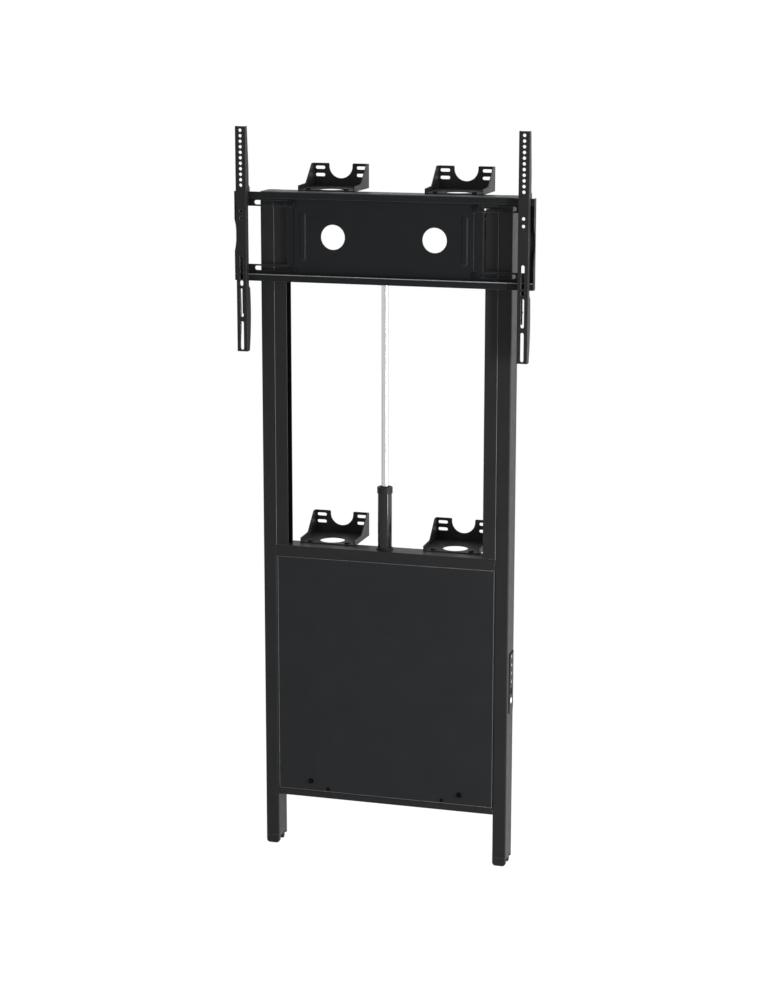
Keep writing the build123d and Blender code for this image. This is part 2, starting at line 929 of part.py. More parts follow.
def make_circuit_board():
    """Controller's board on its posts, with a transformer and a relay standing on it."""
    low = rail_top + board_lift
    front = box_front + 2 * box_wall
    back = box_back - inlet_depth - box_wall
    with BuildPart() as board:
        block(
            (box_left + 2 * box_wall, box_left + box_length - 2 * box_wall),
            (front, back),
            (low, low + board_thickness),
        )
        for share, width in ((0.25, 40.0), (0.55, 18.0), (0.75, 18.0)):
            middle = box_left + box_length * share
            block(
                (middle - width / 2, middle + width / 2),
                (front + 2, back - 2),
                (low + board_thickness, low + board_thickness + width * 0.7),
            )
    return board


def make_control_lid():
    """Lid of the control box."""
    top = rail_top + box_height
    with BuildPart() as lid:
        block(
            (box_left, box_left + box_length), (box_front, box_back), (top, top + lid_thickness)
        )
        fillet(lid.edges().filter_by(Axis.Z), radius=box_wall)
        fillet(lid.faces().sort_by(Axis.Z)[-1].edges(), radius=lid_thickness / 3)
    return lid


def make_power_inlet():
    """Three-pin mains inlet with a pocket for its switch, in the control box's back."""
    x, width, height = inlet_body()
    z = insert_z()
    floor = box_back + inlet_flange - inlet_depth
    socket_left = x - width / 2 + box_wall
    socket_right = rocker_x() - rocker_width / 2 - box_wall
    socket_mid = (socket_left + socket_right) / 2
    with BuildPart() as inlet:
        block(
            (x - inlet_length / 2, x + inlet_length / 2),
            (box_back, box_back + inlet_flange),
            (z - inlet_height / 2, z + inlet_height / 2),
        )
        block(
            (x - width / 2, x + width / 2),
            (floor, box_back),
            (z - height / 2, z + height / 2),
        )
        block(
            (socket_left, socket_right),
            (floor + inlet_flange, box_back + 2 * inlet_flange),
            (z - height / 2 + box_wall, z + height / 2 - box_wall),
            mode=Mode.SUBTRACT,
        )
        block(
            (rocker_x() - rocker_width / 2, rocker_x() + rocker_width / 2),
            (box_back - rocker_depth, box_back + 2 * inlet_flange),
            (z - rocker_height / 2, z + rocker_height / 2),
            mode=Mode.SUBTRACT,
        )
        for step in (-1, 0, 1):
            blade = socket_mid + step * blade_pitch
            block(
                (blade - blade_width / 2, blade + blade_width / 2),
                (floor + inlet_flange, box_back - inlet_flange),
                (z - blade_height / 2, z + blade_height / 2),
            )
    return inlet


def make_rocker():
    """Rocker of the mains switch, which tips about a line along X."""
    z = insert_z()
    half = rocker_width / 2 - play
    reach = rocker_height / 2 - 2 * play
    base = box_back - rocker_depth / 2
    face = box_back + inlet_flange
    with BuildPart() as rocker:
        with BuildSketch(Plane.YZ.offset(rocker_x() - half)):
            with BuildLine():
                Polyline(
                    (base, z - reach / 2),
                    (face - rocker_tip, z - reach),
                    (face + rocker_tip, z - reach),
                    (face, z),
                    (face + rocker_tip, z + reach),
                    (face - rocker_tip, z + reach),
                    (base, z + reach / 2),
                    close=True,
                )
            make_face()
        extrude(amount=2 * half)
    return rocker


# Keypad

def keys():
    """Name and height of each memory key, from the top down."""
    return [
        (f"key_{number + 1}", keypad_top - key_drop - number * key_pitch)
        for number in range(key_count)
    ]


def make_keypad_housing():
    """Insert in the right column's outer wall: a rounded face with a box behind it."""
    face = frame_width / 2
    middle = keypad_top - keypad_length / 2
    with BuildPart() as housing:
        with BuildSketch(Plane.YZ.offset(face)):
            with Locations((keypad_y, middle)):
                RectangleRounded(keypad_width, keypad_length, keypad_width / 5)
        extrude(amount=keypad_face)
        with BuildSketch(Plane.YZ.offset(face)):
            with Locations((keypad_y, middle)):
                Rectangle(keypad_width - 2 * keypad_rim, keypad_length - 2 * keypad_rim)
        extrude(amount=-keypad_body)
        for _, z in keys():
            block(
                (face - key_height - key_travel - play, face + 2 * keypad_face),
                (keypad_y - key_width / 2 - snug, keypad_y + key_width / 2 + snug),
                (z - key_length / 2 - snug, z + key_length / 2 + snug),
                mode=Mode.SUBTRACT,
            )
        cylinder_along_x(
            face - key_height - key_travel - play, face + 2 * keypad_face, keypad_y,
            keypad_top - dial_drop, dial_key_radius + snug, mode=Mode.SUBTRACT,
        )
        cylinder_along_x(
            face - key_height, face + 2 * keypad_face, keypad_y, keypad_top - lamp_drop,
            lamp_radius + snug, mode=Mode.SUBTRACT,
        )
    return housing


def make_key(z):
    """Small rounded key that is pressed into the column."""
    base = frame_width / 2 - key_height
    with BuildPart() as key:
        with BuildSketch(Plane.YZ.offset(base)):
            with Locations((keypad_y, z)):
                RectangleRounded(key_width, key_length, key_length / 5)
        extrude(amount=key_height + key_proud)
        fillet(key.faces().sort_by(Axis.X)[-1].edges(), radius=key_height / 4)
    return key


def make_stop_key():
    """Round key below the row."""
    base = frame_width / 2 - key_height
    z = keypad_top - dial_drop
    with BuildPart() as key:
        cylinder_along_x(base, base + key_height + key_proud, keypad_y, z, dial_key_radius)
        fillet(key.faces().sort_by(Axis.X)[-1].edges(), radius=key_height / 4)
    return key


def make_lamp():
    """White lamp lens at the keypad's lower end."""
    base = frame_width / 2 - key_height
    z = keypad_top - lamp_drop
    with BuildPart() as lamp:
        cylinder_along_x(base, base + key_height + key_proud, keypad_y, z, lamp_radius)
        fillet(lamp.faces().sort_by(Axis.X)[-1].edges(), radius=key_proud / 2)
    return lamp


# Screen plate

def make_screen_plate():
    """Folded plate: a lip above and below, dipped end flanges, windows, slots and two holes."""
    half = plate_width / 2
    with BuildPart() as plate:
        with BuildSketch(Plane.YZ.offset(-half)):
            with BuildLine():
                Polyline(
                    (lip_front, plate_top),
                    (lip_back, plate_top),
                    (lip_back, upper_flange),
                    (sheet_back, upper_flange),
                    (sheet_back, lower_flange),
                    (lip_back, lower_flange),
                    (lip_back, plate_bottom),
                    (lip_front, plate_bottom),
                    (lip_front, lower_flange + plate_sheet),
                    (sheet_front, lower_flange + plate_sheet),
                    (sheet_front, upper_flange - plate_sheet),
                    (lip_front, upper_flange - plate_sheet),
                    close=True,
                )
            make_face()
        extrude(amount=plate_width)
        for end in (-half, half - plate_sheet):
            with BuildSketch(Plane.YZ.offset(end)):
                with BuildLine():
                    Polyline(
                        (lip_front, plate_mid + end_dip_half),
                        (lip_front, plate_top),
                        (sheet_back, plate_top),
                        (sheet_back, plate_bottom),
                        (lip_front, plate_bottom),
                        (lip_front, plate_mid - end_dip_half),
                    )
                    ThreePointArc(
                        (lip_front, plate_mid - end_dip_half),
                        (lip_front + end_dip_depth, plate_mid),
                        (lip_front, plate_mid + end_dip_half),
                    )
                make_face()
            extrude(amount=plate_sheet)
        with BuildSketch(Plane.XZ.offset(-sheet_back)):
            window_middle, window_length = span(window_inner, half - window_edge)
            slot_middle, slot_span = span(plate_slot_start, half - plate_slot_edge)
            for side in SIDES.values():
                with Locations((side * window_middle, plate_mid)):
                    RectangleRounded(window_length, window_height, window_corner)
                with Locations(*[(side * slot_middle, z) for z in screw_rows]):
                    SlotOverall(slot_span, plate_slot_height)
                with Locations((side * view_hole_x, plate_mid)):
                    Circle(view_hole_radius)
        extrude(amount=plate_sheet, mode=Mode.SUBTRACT)
        for side in SIDES.values():
            with BuildSketch(Plane.XZ.offset(-sheet_front)):
                with Locations((side * bead_x, plate_mid)):
                    SlotOverall(bead_length, bead_width, rotation=90)
            extrude(amount=bead_height, taper=30)
            with BuildSketch(Plane.XZ.offset(-sheet_back)):
                with Locations((side * bead_x, plate_mid)):
                    SlotOverall(bead_length - plate_sheet, bead_width - plate_sheet, rotation=90)
            extrude(amount=bead_height, taper=30, mode=Mode.SUBTRACT)
    return plate


def make_plate_screws():
    """Screws, washers and nuts that clamp the plate to the carriage through its slots."""
    with BuildPart() as screws:
        for side in SIDES.values():
            for z in screw_rows:
                x = side * plate_screw_x
                washer_front = sheet_front - washer_thickness
                cylinder_along_y(x, washer_front, sheet_front, z, washer_radius)
                cylinder_along_y(x, washer_front - screw_head_height, washer_front, z, screw_head_radius)
                cylinder_along_y(x, sheet_front, carriage_back + thin_nut, z, plate_screw_radius)
                cylinder_along_y(x, carriage_back, carriage_back + thin_nut, z, screw_head_radius)
    return screws


# Carriage

def make_carriage_frame():
    """Sheet behind the plate with a cheek folded back beside each guide post."""
    back = column_front + cheek_depth
    deep_back = cylinder_y + crossbar_size / 2 + carriage_sheet
    beam_clear = column_front - 2 * play
    cheek_bottom = plate_mid - carriage_rise
    cheek_step = plate_mid - cheek_step_drop
    cheek_top = plate_mid + cheek_rise
    with BuildPart() as carriage:
        block(
            (-carriage_half, carriage_half),
            (sheet_back, carriage_back),
            (plate_mid - carriage_rise, plate_mid + carriage_rise),
        )
        for side in SIDES.values():
            near = side * (carriage_half - carriage_sheet)
            with BuildSketch(Plane.YZ.offset(min(near, side * carriage_half))):
                with BuildLine():
                    Polyline(
                        (sheet_back, cheek_bottom),
                        (deep_back, cheek_bottom),
                        (deep_back, cheek_step),
                        (back, cheek_step + deep_back - back),
                        (back, cheek_top),
                        (beam_clear, cheek_top),
                        (beam_clear, plate_mid + carriage_rise),
                        (sheet_back, plate_mid + carriage_rise),
                        close=True,
                    )
                make_face()
            extrude(amount=carriage_sheet)
        with BuildSketch(Plane.XZ.offset(-carriage_back)):
            for side in SIDES.values():
                with Locations((side * view_hole_x, plate_mid)):
                    Circle(carriage_hole_radius)
                with Locations(*[(side * plate_screw_x, z) for z in screw_rows]):
                    Circle(plate_screw_radius + snug)
        extrude(amount=carriage_sheet, mode=Mode.SUBTRACT)
        for z in (lower_roller, upper_roller):
            cylinder_along_x(
                -carriage_half - play, carriage_half + play, roller_y, z, axle_radius + snug,
                mode=Mode.SUBTRACT,
            )
    return carriage


def make_crossbar():
    """Square tube between the cheeks, with the fork welded under it for the rod's eye."""
    half = carriage_half - carriage_sheet
    z = crossbar_bottom + crossbar_size / 2
    reach = ear_gap / 2 + clevis_wall
    low = rod_pin_z - eye_radius - play
    with BuildPart() as bar:
        with BuildSketch(Plane.YZ.offset(-half)):
            with Locations((cylinder_y, z)):
                RectangleRounded(crossbar_size, crossbar_size, 2 * crossbar_wall)
                RectangleRounded(
                    crossbar_size - 2 * crossbar_wall,
                    crossbar_size - 2 * crossbar_wall,
                    crossbar_wall,
                    mode=Mode.SUBTRACT,
                )
        extrude(amount=2 * half)
        block(
            (cylinder_x - reach, cylinder_x + reach),
            (cylinder_y - clevis_depth / 2, cylinder_y + clevis_depth / 2),
            (low, crossbar_bottom + crossbar_wall / 2),
        )
        block(
            (cylinder_x - ear_gap / 2, cylinder_x + ear_gap / 2),
            (cylinder_y - clevis_depth, cylinder_y + clevis_depth),
            (low - play, crossbar_bottom - clevis_wall),
            mode=Mode.SUBTRACT,
        )
        cylinder_along_x(
            cylinder_x - 2 * reach, cylinder_x + 2 * reach, cylinder_y, rod_pin_z,
            pin_radius + running, mode=Mode.SUBTRACT,
        )
    return bar


def make_roller_axles():
    """Four headed studs in the cheeks, each with a shoulder and an end head."""
    stations = (
        (carriage_half - carriage_sheet - axle_head, carriage_half - carriage_sheet, axle_head_radius),
        (carriage_half - carriage_sheet, roller_inner + roller_width + 2 * play + axle_head, axle_radius),
        (carriage_half, roller_inner - play, axle_head_radius),
        (
            roller_inner + roller_width + play,
            roller_inner + roller_width + play + axle_head,
            axle_head_radius,
        ),
    )
    with BuildPart() as axles:
        for side in SIDES.values():
            for z in (lower_roller, upper_roller):
                for near, far, radius in stations:
                    low, high = sorted((side * near, side * far))
                    cylinder_along_x(low, high, roller_y, z, radius)
    return axles


def make_roller(side, z):
    """Nylon roller that runs in a guide post."""
    low, high = sorted((side * roller_inner, side * (roller_inner + roller_width)))
    with BuildPart() as roller:
        with BuildSketch(Plane.YZ.offset(low)):
            with Locations((roller_y, z)):
                Circle(roller_radius)
        extrude(amount=high - low)
        fillet(roller.edges().filter_by(GeomType.CIRCLE), radius=roller_width / 8)
        cylinder_along_x(low - play, high + play, roller_y, z, axle_radius + running, mode=Mode.SUBTRACT)
    return roller


# Hanging arms

def make_arm(side):
    """Folded arm: a slotted front, and two flanges that hook over the plate's lips."""
    x = side * arm_x
    hook_top = plate_top + hook_rise
    hook_back = lip_back + hook_reach
    clear_front = lip_front - play
    shoulder = (arm_front + belly_shoulder, plate_bottom - belly_drop)
    foot = (arm_front + belly_foot, arm_bottom)
    with BuildPart() as arm:
        block(
            (x - arm_width / 2, x + arm_width / 2), (arm_front, arm_back), (arm_bottom, arm_top)
        )
        for hand in (-1, 1):
            near = x + hand * (arm_width / 2 - arm_sheet)
            far = x + hand * arm_width / 2
            with BuildSketch(Plane.YZ.offset(min(near, far))):
                with BuildLine():
                    Polyline(
                        foot,
                        (arm_front, arm_bottom),
                        (arm_front, arm_top),
                        (arm_front + arm_edge, arm_top),
                        (arm_front + arm_neck, arm_top - arm_taper),
                        (arm_front + arm_neck, hook_top + hook_rise),
                        (hook_back, hook_top),
                        (hook_back, plate_top - hook_drop),
                        (lip_back + play, plate_top - hook_drop),
                        (lip_back + play, plate_top + play),
                        (clear_front, plate_top + play),
                        (clear_front, plate_bottom - belly_drop + belly_step),
                        shoulder,
                    )
                    ThreePointArc(
                        shoulder, (arm_front + belly_depth, plate_bottom - belly_middle), foot
                    )
                make_face()
            extrude(amount=arm_sheet)
        fillet(arm.edges().filter_by(Axis.Z).group_by(Axis.Y)[0], radius=arm_fold)
        with BuildSketch(Plane.XZ.offset(-arm_back)):
            top_hole = arm_top - arm_hole_drop
            rows = [top_hole - row * arm_hole_pitch for row in range(arm_hole_count)]
            rows += [plate_top - lone_hole_drop, plate_top - lone_hole_drop - lone_hole_pitch]
            with Locations(*[(x, z) for z in rows]):
                Circle(arm_hole_radius)
            for low, high in arm_slots:
                middle, length = span(low, high)
                with Locations((x, plate_bottom + middle)):
                    SlotOverall(length, arm_slot_width, rotation=90)
        extrude(amount=arm_sheet, mode=Mode.SUBTRACT)
    return arm


def make_lock_bar(side):
    """Bar in an arm's inner half, with a finger that reaches up behind the plate's lower lip."""
    x = side * lock_x
    half = lock_width / 2
    lock_bottom = plate_bottom - lock_drop
    front = arm_back + play
    finger_front = lip_back + play
    finger_back = finger_front + lock_sheet
    with BuildPart() as bar:
        block((x - half, x + half), (front, front + lock_sheet), (lock_bottom, lock_ledge))
        block((x - half, x + half), (front, finger_back), (lock_ledge, lock_ledge + lock_sheet))
        block(
            (x - half, x + half), (finger_front, finger_back), (lock_ledge, lock_ledge + lock_finger)
        )
        cylinder_along_y(
            x, front - play, front + lock_sheet + play, knob_z, lock_screw_radius + snug,
            mode=Mode.SUBTRACT,
        )
    return bar


def make_lock_knob(side):
    """Thumb screw through a lock bar, which it clamps to the arm."""
    x = side * lock_x
    seat = arm_back + play + lock_sheet
    with BuildPart() as knob:
        cylinder_along_y(x, seat, seat + knob_height, knob_z, knob_radius)
        cylinder_along_y(x, arm_back + play, seat, knob_z, lock_screw_radius)
    return knob


# Write every piece

os.makedirs("parts", exist_ok=True)
for word, side in SIDES.items():
    write(f"{word}_column", make_column(side))
    write(f"{word}_foot", make_foot(side))
    write(f"{word}_wheels", make_wheels(side))
    write(f"{word}_wheel_axle", make_wheel_axle(side))
    write(f"{word}_guide_post", make_guide_post(side))
    write(f"{word}_arm", make_arm(side))
    write(f"{word}_lock_bar", make_lock_bar(side))
    write(f"{word}_lock_knob", make_lock_knob(side))
    write(f"{word}_upper_roller", make_roller(side, upper_roller))
    write(f"{word}_lower_roller", make_roller(side, lower_roller))
    write(f"upper_{word}_wall_bracket", make_wall_bracket(side, frame_height))
    write(f"lower_{word}_wall_bracket", make_wall_bracket(side, mid_beam_top))
write("column_caps", make_column_caps())
write("top_beam", make_top_beam())
write("mid_beam", make_mid_beam())
write("bottom_rail", make_bottom_rail())
write("front_panel", make_front_panel())
write("panel_screws", make_panel_screws())
write("bracket_bolts", make_bracket_bolts())
write("actuator_foot", make_actuator_foot())
write("foot_pin", make_pin(foot_pin_z))
write("gear_housing", make_gear_housing())
write("motor", make_motor())
write("spindle_bearing", ring_between(
    cylinder_x, cylinder_y, housing_top - bearing_height, housing_top, bearing_radius, bearing_bore,
))
write("actuator_tube", ring_between(
    cylinder_x, cylinder_y, housing_top, tube_top, tube_radius, tube_bore,
))
write("tube_collar", make_tube_collar())
write("tube_ring", ring_between(
    cylinder_x, cylinder_y, mid_beam_top, mid_beam_top + ring_height, ring_radius, tube_radius + snug,
))
write("spindle", make_spindle())
write("spindle_nut", ring_between(
    cylinder_x, cylinder_y, rod_foot - nut_height, rod_foot, tube_bore - nut_clearance,
    spindle_radius + running,
))
write("actuator_rod", make_actuator_rod())
write("rod_pin", make_pin(rod_pin_z))
write("control_box", make_control_box())
write("circuit_board", make_circuit_board())
write("control_lid", make_control_lid())
write("power_inlet", make_power_inlet())
write("rocker", make_rocker())
write("keypad_housing", make_keypad_housing())
for name, height in keys():
    write(name, make_key(height))
write("stop_key", make_stop_key())
write("keypad_lamp", make_lamp())
write("screen_plate", make_screen_plate())
write("plate_screws", make_plate_screws())
write("carriage_frame", make_carriage_frame())
write("crossbar", make_crossbar())
write("roller_axles", make_roller_axles())
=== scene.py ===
"""Studio scene of a motorised screen stand.

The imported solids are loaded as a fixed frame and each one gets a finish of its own. The small
parts that the eye meets first, such as screw heads, knobs, key marks and welds, are modelled
here in full. Lengths are in metres, +X to the right, +Y to the wall, +Z up.
"""

import json
import logging
import math
from collections.abc import Callable, Iterable, Iterator
from contextlib import contextmanager
from dataclasses import dataclass
from enum import Enum

import bmesh
import bpy
from mathutils import Matrix, Vector


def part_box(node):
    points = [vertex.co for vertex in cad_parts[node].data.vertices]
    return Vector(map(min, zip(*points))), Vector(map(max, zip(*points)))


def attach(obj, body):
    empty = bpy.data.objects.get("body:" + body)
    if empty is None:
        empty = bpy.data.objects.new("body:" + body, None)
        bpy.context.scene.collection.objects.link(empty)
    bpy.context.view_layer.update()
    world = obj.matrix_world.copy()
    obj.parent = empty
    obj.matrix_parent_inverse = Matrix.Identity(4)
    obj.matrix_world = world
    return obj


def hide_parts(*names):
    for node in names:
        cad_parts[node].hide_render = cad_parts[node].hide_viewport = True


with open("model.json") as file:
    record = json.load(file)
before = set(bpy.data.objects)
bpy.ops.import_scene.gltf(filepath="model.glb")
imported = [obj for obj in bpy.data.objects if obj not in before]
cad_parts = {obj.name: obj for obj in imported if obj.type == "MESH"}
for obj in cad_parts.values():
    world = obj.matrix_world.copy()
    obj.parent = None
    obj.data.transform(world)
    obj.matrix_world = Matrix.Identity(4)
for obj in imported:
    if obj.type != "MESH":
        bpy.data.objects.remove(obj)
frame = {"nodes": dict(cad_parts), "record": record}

logging.basicConfig(level=logging.INFO, format="%(message)s")
log = logging.getLogger("stand")

Pair = tuple[float, float]
Triple = tuple[float, float, float]
Spot = tuple[Triple, Triple]
Socket = bpy.types.NodeSocket
Outline = tuple[Pair, Pair]
SIDES = {"left": -1.0, "right": 1.0}
LEVELS = ("lower", "upper")
HANDS = (-1, 1)  # both ways along an axis
CLEARANCE = 0.0001
WHITE = (1.0, 1.0, 1.0, 1.0)
SHEEN_RAYS = ("Is Glossy Ray", "Is Transmission Ray")


class Grain(Enum):
    """Kinds of surface relief."""

    POWDER = "fine orange peel of a baked coat"
    MOULDED = "spark-eroded grain of a moulding"
    CAST = "coarse skin of a casting"
    TURNED = "fine rings left by a lathe"
    POLISHED = "nearly none"
    BOARD = "tracks and pads of a circuit board"


class Axis(Enum):
    """Directions that round parts lie along, as turns from the upright."""

    X = (0.0, math.pi / 2, 0.0)
    Y = (math.pi / 2, 0.0, 0.0)
    Z = (0.0, 0.0, 0.0)


class Facing(Enum):
    """Ways that a screw's head looks, as turns from upwards."""

    FRONT = (math.pi / 2, 0.0, 0.0)
    BACK = (-math.pi / 2, 0.0, 0.0)
    RIGHT = (math.pi / 2, 0.0, math.pi / 2)
    RIGHT_DOWN = (-math.pi / 2, 0.0, -math.pi / 2)
    LEFT = (0.0, -math.pi / 2, 0.0)
    UP = (0.0, 0.0, 0.0)

    def at(self, places: Iterable[Triple]) -> list[Spot]:
        """Turn each place into a spot that looks this way."""
        return [(place, self.value) for place in places]


class Tree:
    """Adds and joins the nodes of a material or a world."""

    def __init__(self, tree: bpy.types.NodeTree) -> None:
        """Keep the tree that is worked on.

        Args:
            tree: The tree of nodes.
        """
        self.tree = tree

    def add(self, kind: str, **settings: object) -> bpy.types.Node:
        """Add a node and set its properties.

        Args:
            kind: Blender's name for the node type.
            **settings: Properties of the node.

        Returns:
            The new node.
        """
        node = self.tree.nodes.new(kind)
        for key, value in settings.items():
            setattr(node, key, value)
        return node

    def join(self, source: Socket, target: Socket) -> None:
        """Link an output to an input."""
        self.tree.links.new(source, target)

    def remap(self, value: Socket, source: Pair, target: Pair, **settings: object) -> Socket:
        """Carry a value from one range to another.

        Args:
            value: The value to carry over.
            source: Its range.
            target: The range wanted.
            **settings: Properties of the node.

        Returns:
            The carried value.
        """
        node = self.add("ShaderNodeMapRange", **settings)
        self.join(value, node.inputs["Value"])
        node.inputs["From Min"].default_value, node.inputs["From Max"].default_value = source
        node.inputs["To Min"].default_value, node.inputs["To Max"].default_value = target
        return node.outputs["Result"]

    def seen(self) -> Socket:
        """Mark the rays by which the background is seen, directly or in a shiny surface.

        Returns:
            A mask that is 1 for those rays.
        """
        path = self.add("ShaderNodeLightPath")
        mask = path.outputs["Is Camera Ray"]
        for ray in SHEEN_RAYS:
            either = self.add("ShaderNodeMath", operation="MAXIMUM")
            self.join(mask, either.inputs[0])
            self.join(path.outputs[ray], either.inputs[1])
            mask = either.outputs["Value"]
        return mask

    def blend(self, share: Socket, first: Socket, second: Socket, target: Socket) -> None:
        """Mix two shaders and link the result.

        Args:
            share: How much of the second shader shows.
            first: The first shader.
            second: The second shader.
            target: The input that takes the mixture.
        """
        choice = self.add("ShaderNodeMixShader")
        self.join(share, choice.inputs["Fac"])
        self.join(first, choice.inputs[1])
        self.join(second, choice.inputs[2])
        self.join(choice.outputs["Shader"], target)


class NodeBench(Tree):
    """Builds the patterns of one material."""

    EDGE_SAMPLES = 6
    EDGE_RANGE = (0.99, 0.8)

    def __init__(self, name: str) -> None:
        """Start a material with a Principled shader.

        Args:
            name: The material's name.
        """
        self.material = bpy.data.materials.new(name)
        self.material.use_nodes = True
        super().__init__(self.material.node_tree)
        self.shader = self.tree.nodes["Principled BSDF"]
        self.place = self.add("ShaderNodeTexCoord").outputs["Object"]

    def noise(self, size: float, detail: float, stretch: Triple = (1.0, 1.0, 1.0)) -> Socket:
        """Cloudy pattern on the object's own coordinates.

        Args:
            size: Rough size of one lump, in metres.
            detail: Number of finer octaves.
            stretch: Scale of the pattern along each axis.

        Returns:
            The pattern's value output.
        """
        mapping = self.add("ShaderNodeMapping")
        mapping.inputs["Scale"].default_value = stretch
        self.join(self.place, mapping.inputs["Vector"])
        cloud = self.add("ShaderNodeTexNoise")
        cloud.inputs["Scale"].default_value = 1.0 / size
        cloud.inputs["Detail"].default_value = detail
        self.join(mapping.outputs["Vector"], cloud.inputs["Vector"])
        return cloud.outputs["Fac"]

    def cells(self, size: float) -> Socket:
        """Cell pattern on the object's own coordinates.

        Args:
            size: Rough size of one cell, in metres.

        Returns:
            The distance output.
        """
        pattern = self.add("ShaderNodeTexVoronoi")
        pattern.inputs["Scale"].default_value = 1.0 / size
        self.join(self.place, pattern.inputs["Vector"])
        return pattern.outputs["Distance"]

    def between(self, front: float, back: float) -> Socket:
        """Mark what lies between two depths.

        Args:
            front: The nearer depth, in metres along Y.
            back: The farther depth.

        Returns:
            A mask that is 1 between them.
        """
        parts = self.add("ShaderNodeSeparateXYZ")
        self.join(self.place, parts.inputs["Vector"])
        after = self.add("ShaderNodeMath", operation="GREATER_THAN")
        before = self.add("ShaderNodeMath", operation="LESS_THAN")
        both = self.add("ShaderNodeMath", operation="MULTIPLY")
        for node, limit, socket in ((after, front, 0), (before, back, 1)):
            self.join(parts.outputs["Y"], node.inputs[0])
            node.inputs[1].default_value = limit
            self.join(node.outputs["Value"], both.inputs[socket])
        return both.outputs["Value"]

    def mix(self, share: Socket, first: object, second: object) -> Socket:
        """Mix two colours, each plain or linked.

        Args:
            share: How much of the second colour shows.
            first: The first colour or an output that carries one.
            second: The second colour or an output that carries one.

        Returns:
            The mixed colour.
        """
        node = self.add("ShaderNodeMix", data_type="RGBA")
        self.join(share, node.inputs["Factor"])
        for colour, socket in ((first, node.inputs[6]), (second, node.inputs[7])):
            if isinstance(colour, Socket):
                self.join(colour, socket)
            else:
                socket.default_value = (*colour, 1.0)
        return node.outputs[2]

    def edges(self, radius: float) -> tuple[Socket, Socket]:
        """Round the sharp edges in the shading.

        Args:
            radius: Radius of the rounding, in metres.

        Returns:
            The rounded normal, and a mask that is 1 on the edges, where a highlight is painted.
        """
        round_off = self.add("ShaderNodeBevel", samples=self.EDGE_SAMPLES)
        round_off.inputs["Radius"].default_value = radius
        true_normal = self.add("ShaderNodeNewGeometry").outputs["True Normal"]
        product = self.add("ShaderNodeVectorMath", operation="DOT_PRODUCT")
        self.join(round_off.outputs["Normal"], product.inputs[0])
        self.join(true_normal, product.inputs[1])
        edge_highlight_mask = self.remap(product.outputs["Value"], self.EDGE_RANGE, (0.0, 1.0))
        return round_off.outputs["Normal"], edge_highlight_mask

    def bump(self, height: Socket, depth: float, normal: Socket) -> Socket:
        """Turn a pattern into relief.

        Args:
            height: The pattern.
            depth: Height of the relief, in metres.
            normal: The normal that the relief stands on.

        Returns:
            The new normal.
        """
        node = self.add("ShaderNodeBump")
        node.inputs["Strength"].default_value = 1.0
        node.inputs["Distance"].default_value = depth
        self.join(height, node.inputs["Height"])
        self.join(normal, node.inputs["Normal"])
        return node.outputs["Normal"]


@dataclass(frozen=True)
class Finish:
    """One surface finish, made as a procedural material."""

    # sizes of the patterns in metres, and the part of each pattern's range that is used
    LUMP = 0.09
    LUMP_RANGE = (0.35, 0.65)
    SMEAR = 0.03
    SMEAR_RANGE = (0.3, 0.7)
    PAD = 0.004
    PAD_RANGE = (0.38, 0.42)
    PAD_COLOUR = (0.45, 0.36, 0.16)
    # share of the colour that is left where shade is painted into a channel
    PAINTED_SHADE = 0.15

    slot: str
    colour: Triple
    roughness: float
    grain: Grain = Grain.POWDER
    metal: float = 0.0
    grain_size: float = 0.0011
    relief: float = 0.00003
    drift: float = 0.06
    shine_drift: float = 0.04
    edge: float = 0.0013
    # painted highlight: colour added along sharp edges, standing in for light caught on their
    # rounding
    painted_edge_highlight: float = 0.0
    coat: float = 0.0
    coat_roughness: float = 0.2
    # depths along Y between which the colour is darkened as painted shade inside a channel
    shade_depths: Pair | None = None
    gloss: float = 0.13

    def pattern(self, bench: NodeBench) -> Socket:
        """Choose the fine relief.

        Args:
            bench: The material's nodes.

        Returns:
            The relief's height.
        """
        size = self.grain_size
        if self.grain is Grain.MOULDED:
            return bench.cells(size)
        if self.grain is Grain.TURNED:
            return bench.noise(size, detail=2.0, stretch=(0.05, 0.05, 1.0))
        return bench.noise(size, detail=5.0 if self.grain is Grain.CAST else 2.0)

    def make(self) -> bpy.types.Material:
        """Build the material.

        Returns:
            The finished material.
        """
        bench = NodeBench(f"{self.slot}_finish")
        shader = bench.shader
        normal, edge_highlight_mask = bench.edges(self.edge)
        lumps = bench.noise(self.LUMP, detail=4.0)
        fine = self.pattern(bench)
        dark = tuple(c * (1 - self.drift) for c in self.colour)
        light = tuple(min(c * (1 + self.drift), 1.0) for c in self.colour)
        colour = bench.mix(bench.remap(lumps, self.LUMP_RANGE, (0.0, 1.0)), dark, light)
        if self.grain is Grain.BOARD:
            tracks = bench.remap(bench.cells(self.PAD), self.PAD_RANGE, (0.0, 1.0))
            colour = bench.mix(tracks, colour, self.PAD_COLOUR)
        # painted highlight: the edges are lightened to stand in for light caught on their rounding
        if self.painted_edge_highlight:
            highlight_colour = tuple(min(c + self.painted_edge_highlight, 1.0) for c in self.colour)
            colour = bench.mix(edge_highlight_mask, colour, highlight_colour)
        # painted shade: the colour is darkened between two depths, where the guide posts' channels
        # lie in shade
        if self.shade_depths:
            inside = tuple(c * self.PAINTED_SHADE for c in self.colour)
            colour = bench.mix(bench.between(*self.shade_depths), colour, inside)
        bench.join(colour, shader.inputs["Base Color"])
        low, high = self.roughness - self.shine_drift, self.roughness + self.shine_drift
        smears = bench.noise(self.SMEAR, detail=5.0)
        shine = bench.remap(smears, self.SMEAR_RANGE, (low, high))
        bench.join(shine, shader.inputs["Roughness"])
        bench.join(bench.bump(fine, self.relief, normal), shader.inputs["Normal"])
        shader.inputs["Metallic"].default_value = self.metal
        shader.inputs["Coat Weight"].default_value = self.coat
        shader.inputs["Coat Roughness"].default_value = self.coat_roughness
        shader.inputs["Specular IOR Level"].default_value = self.gloss
        return bench.material


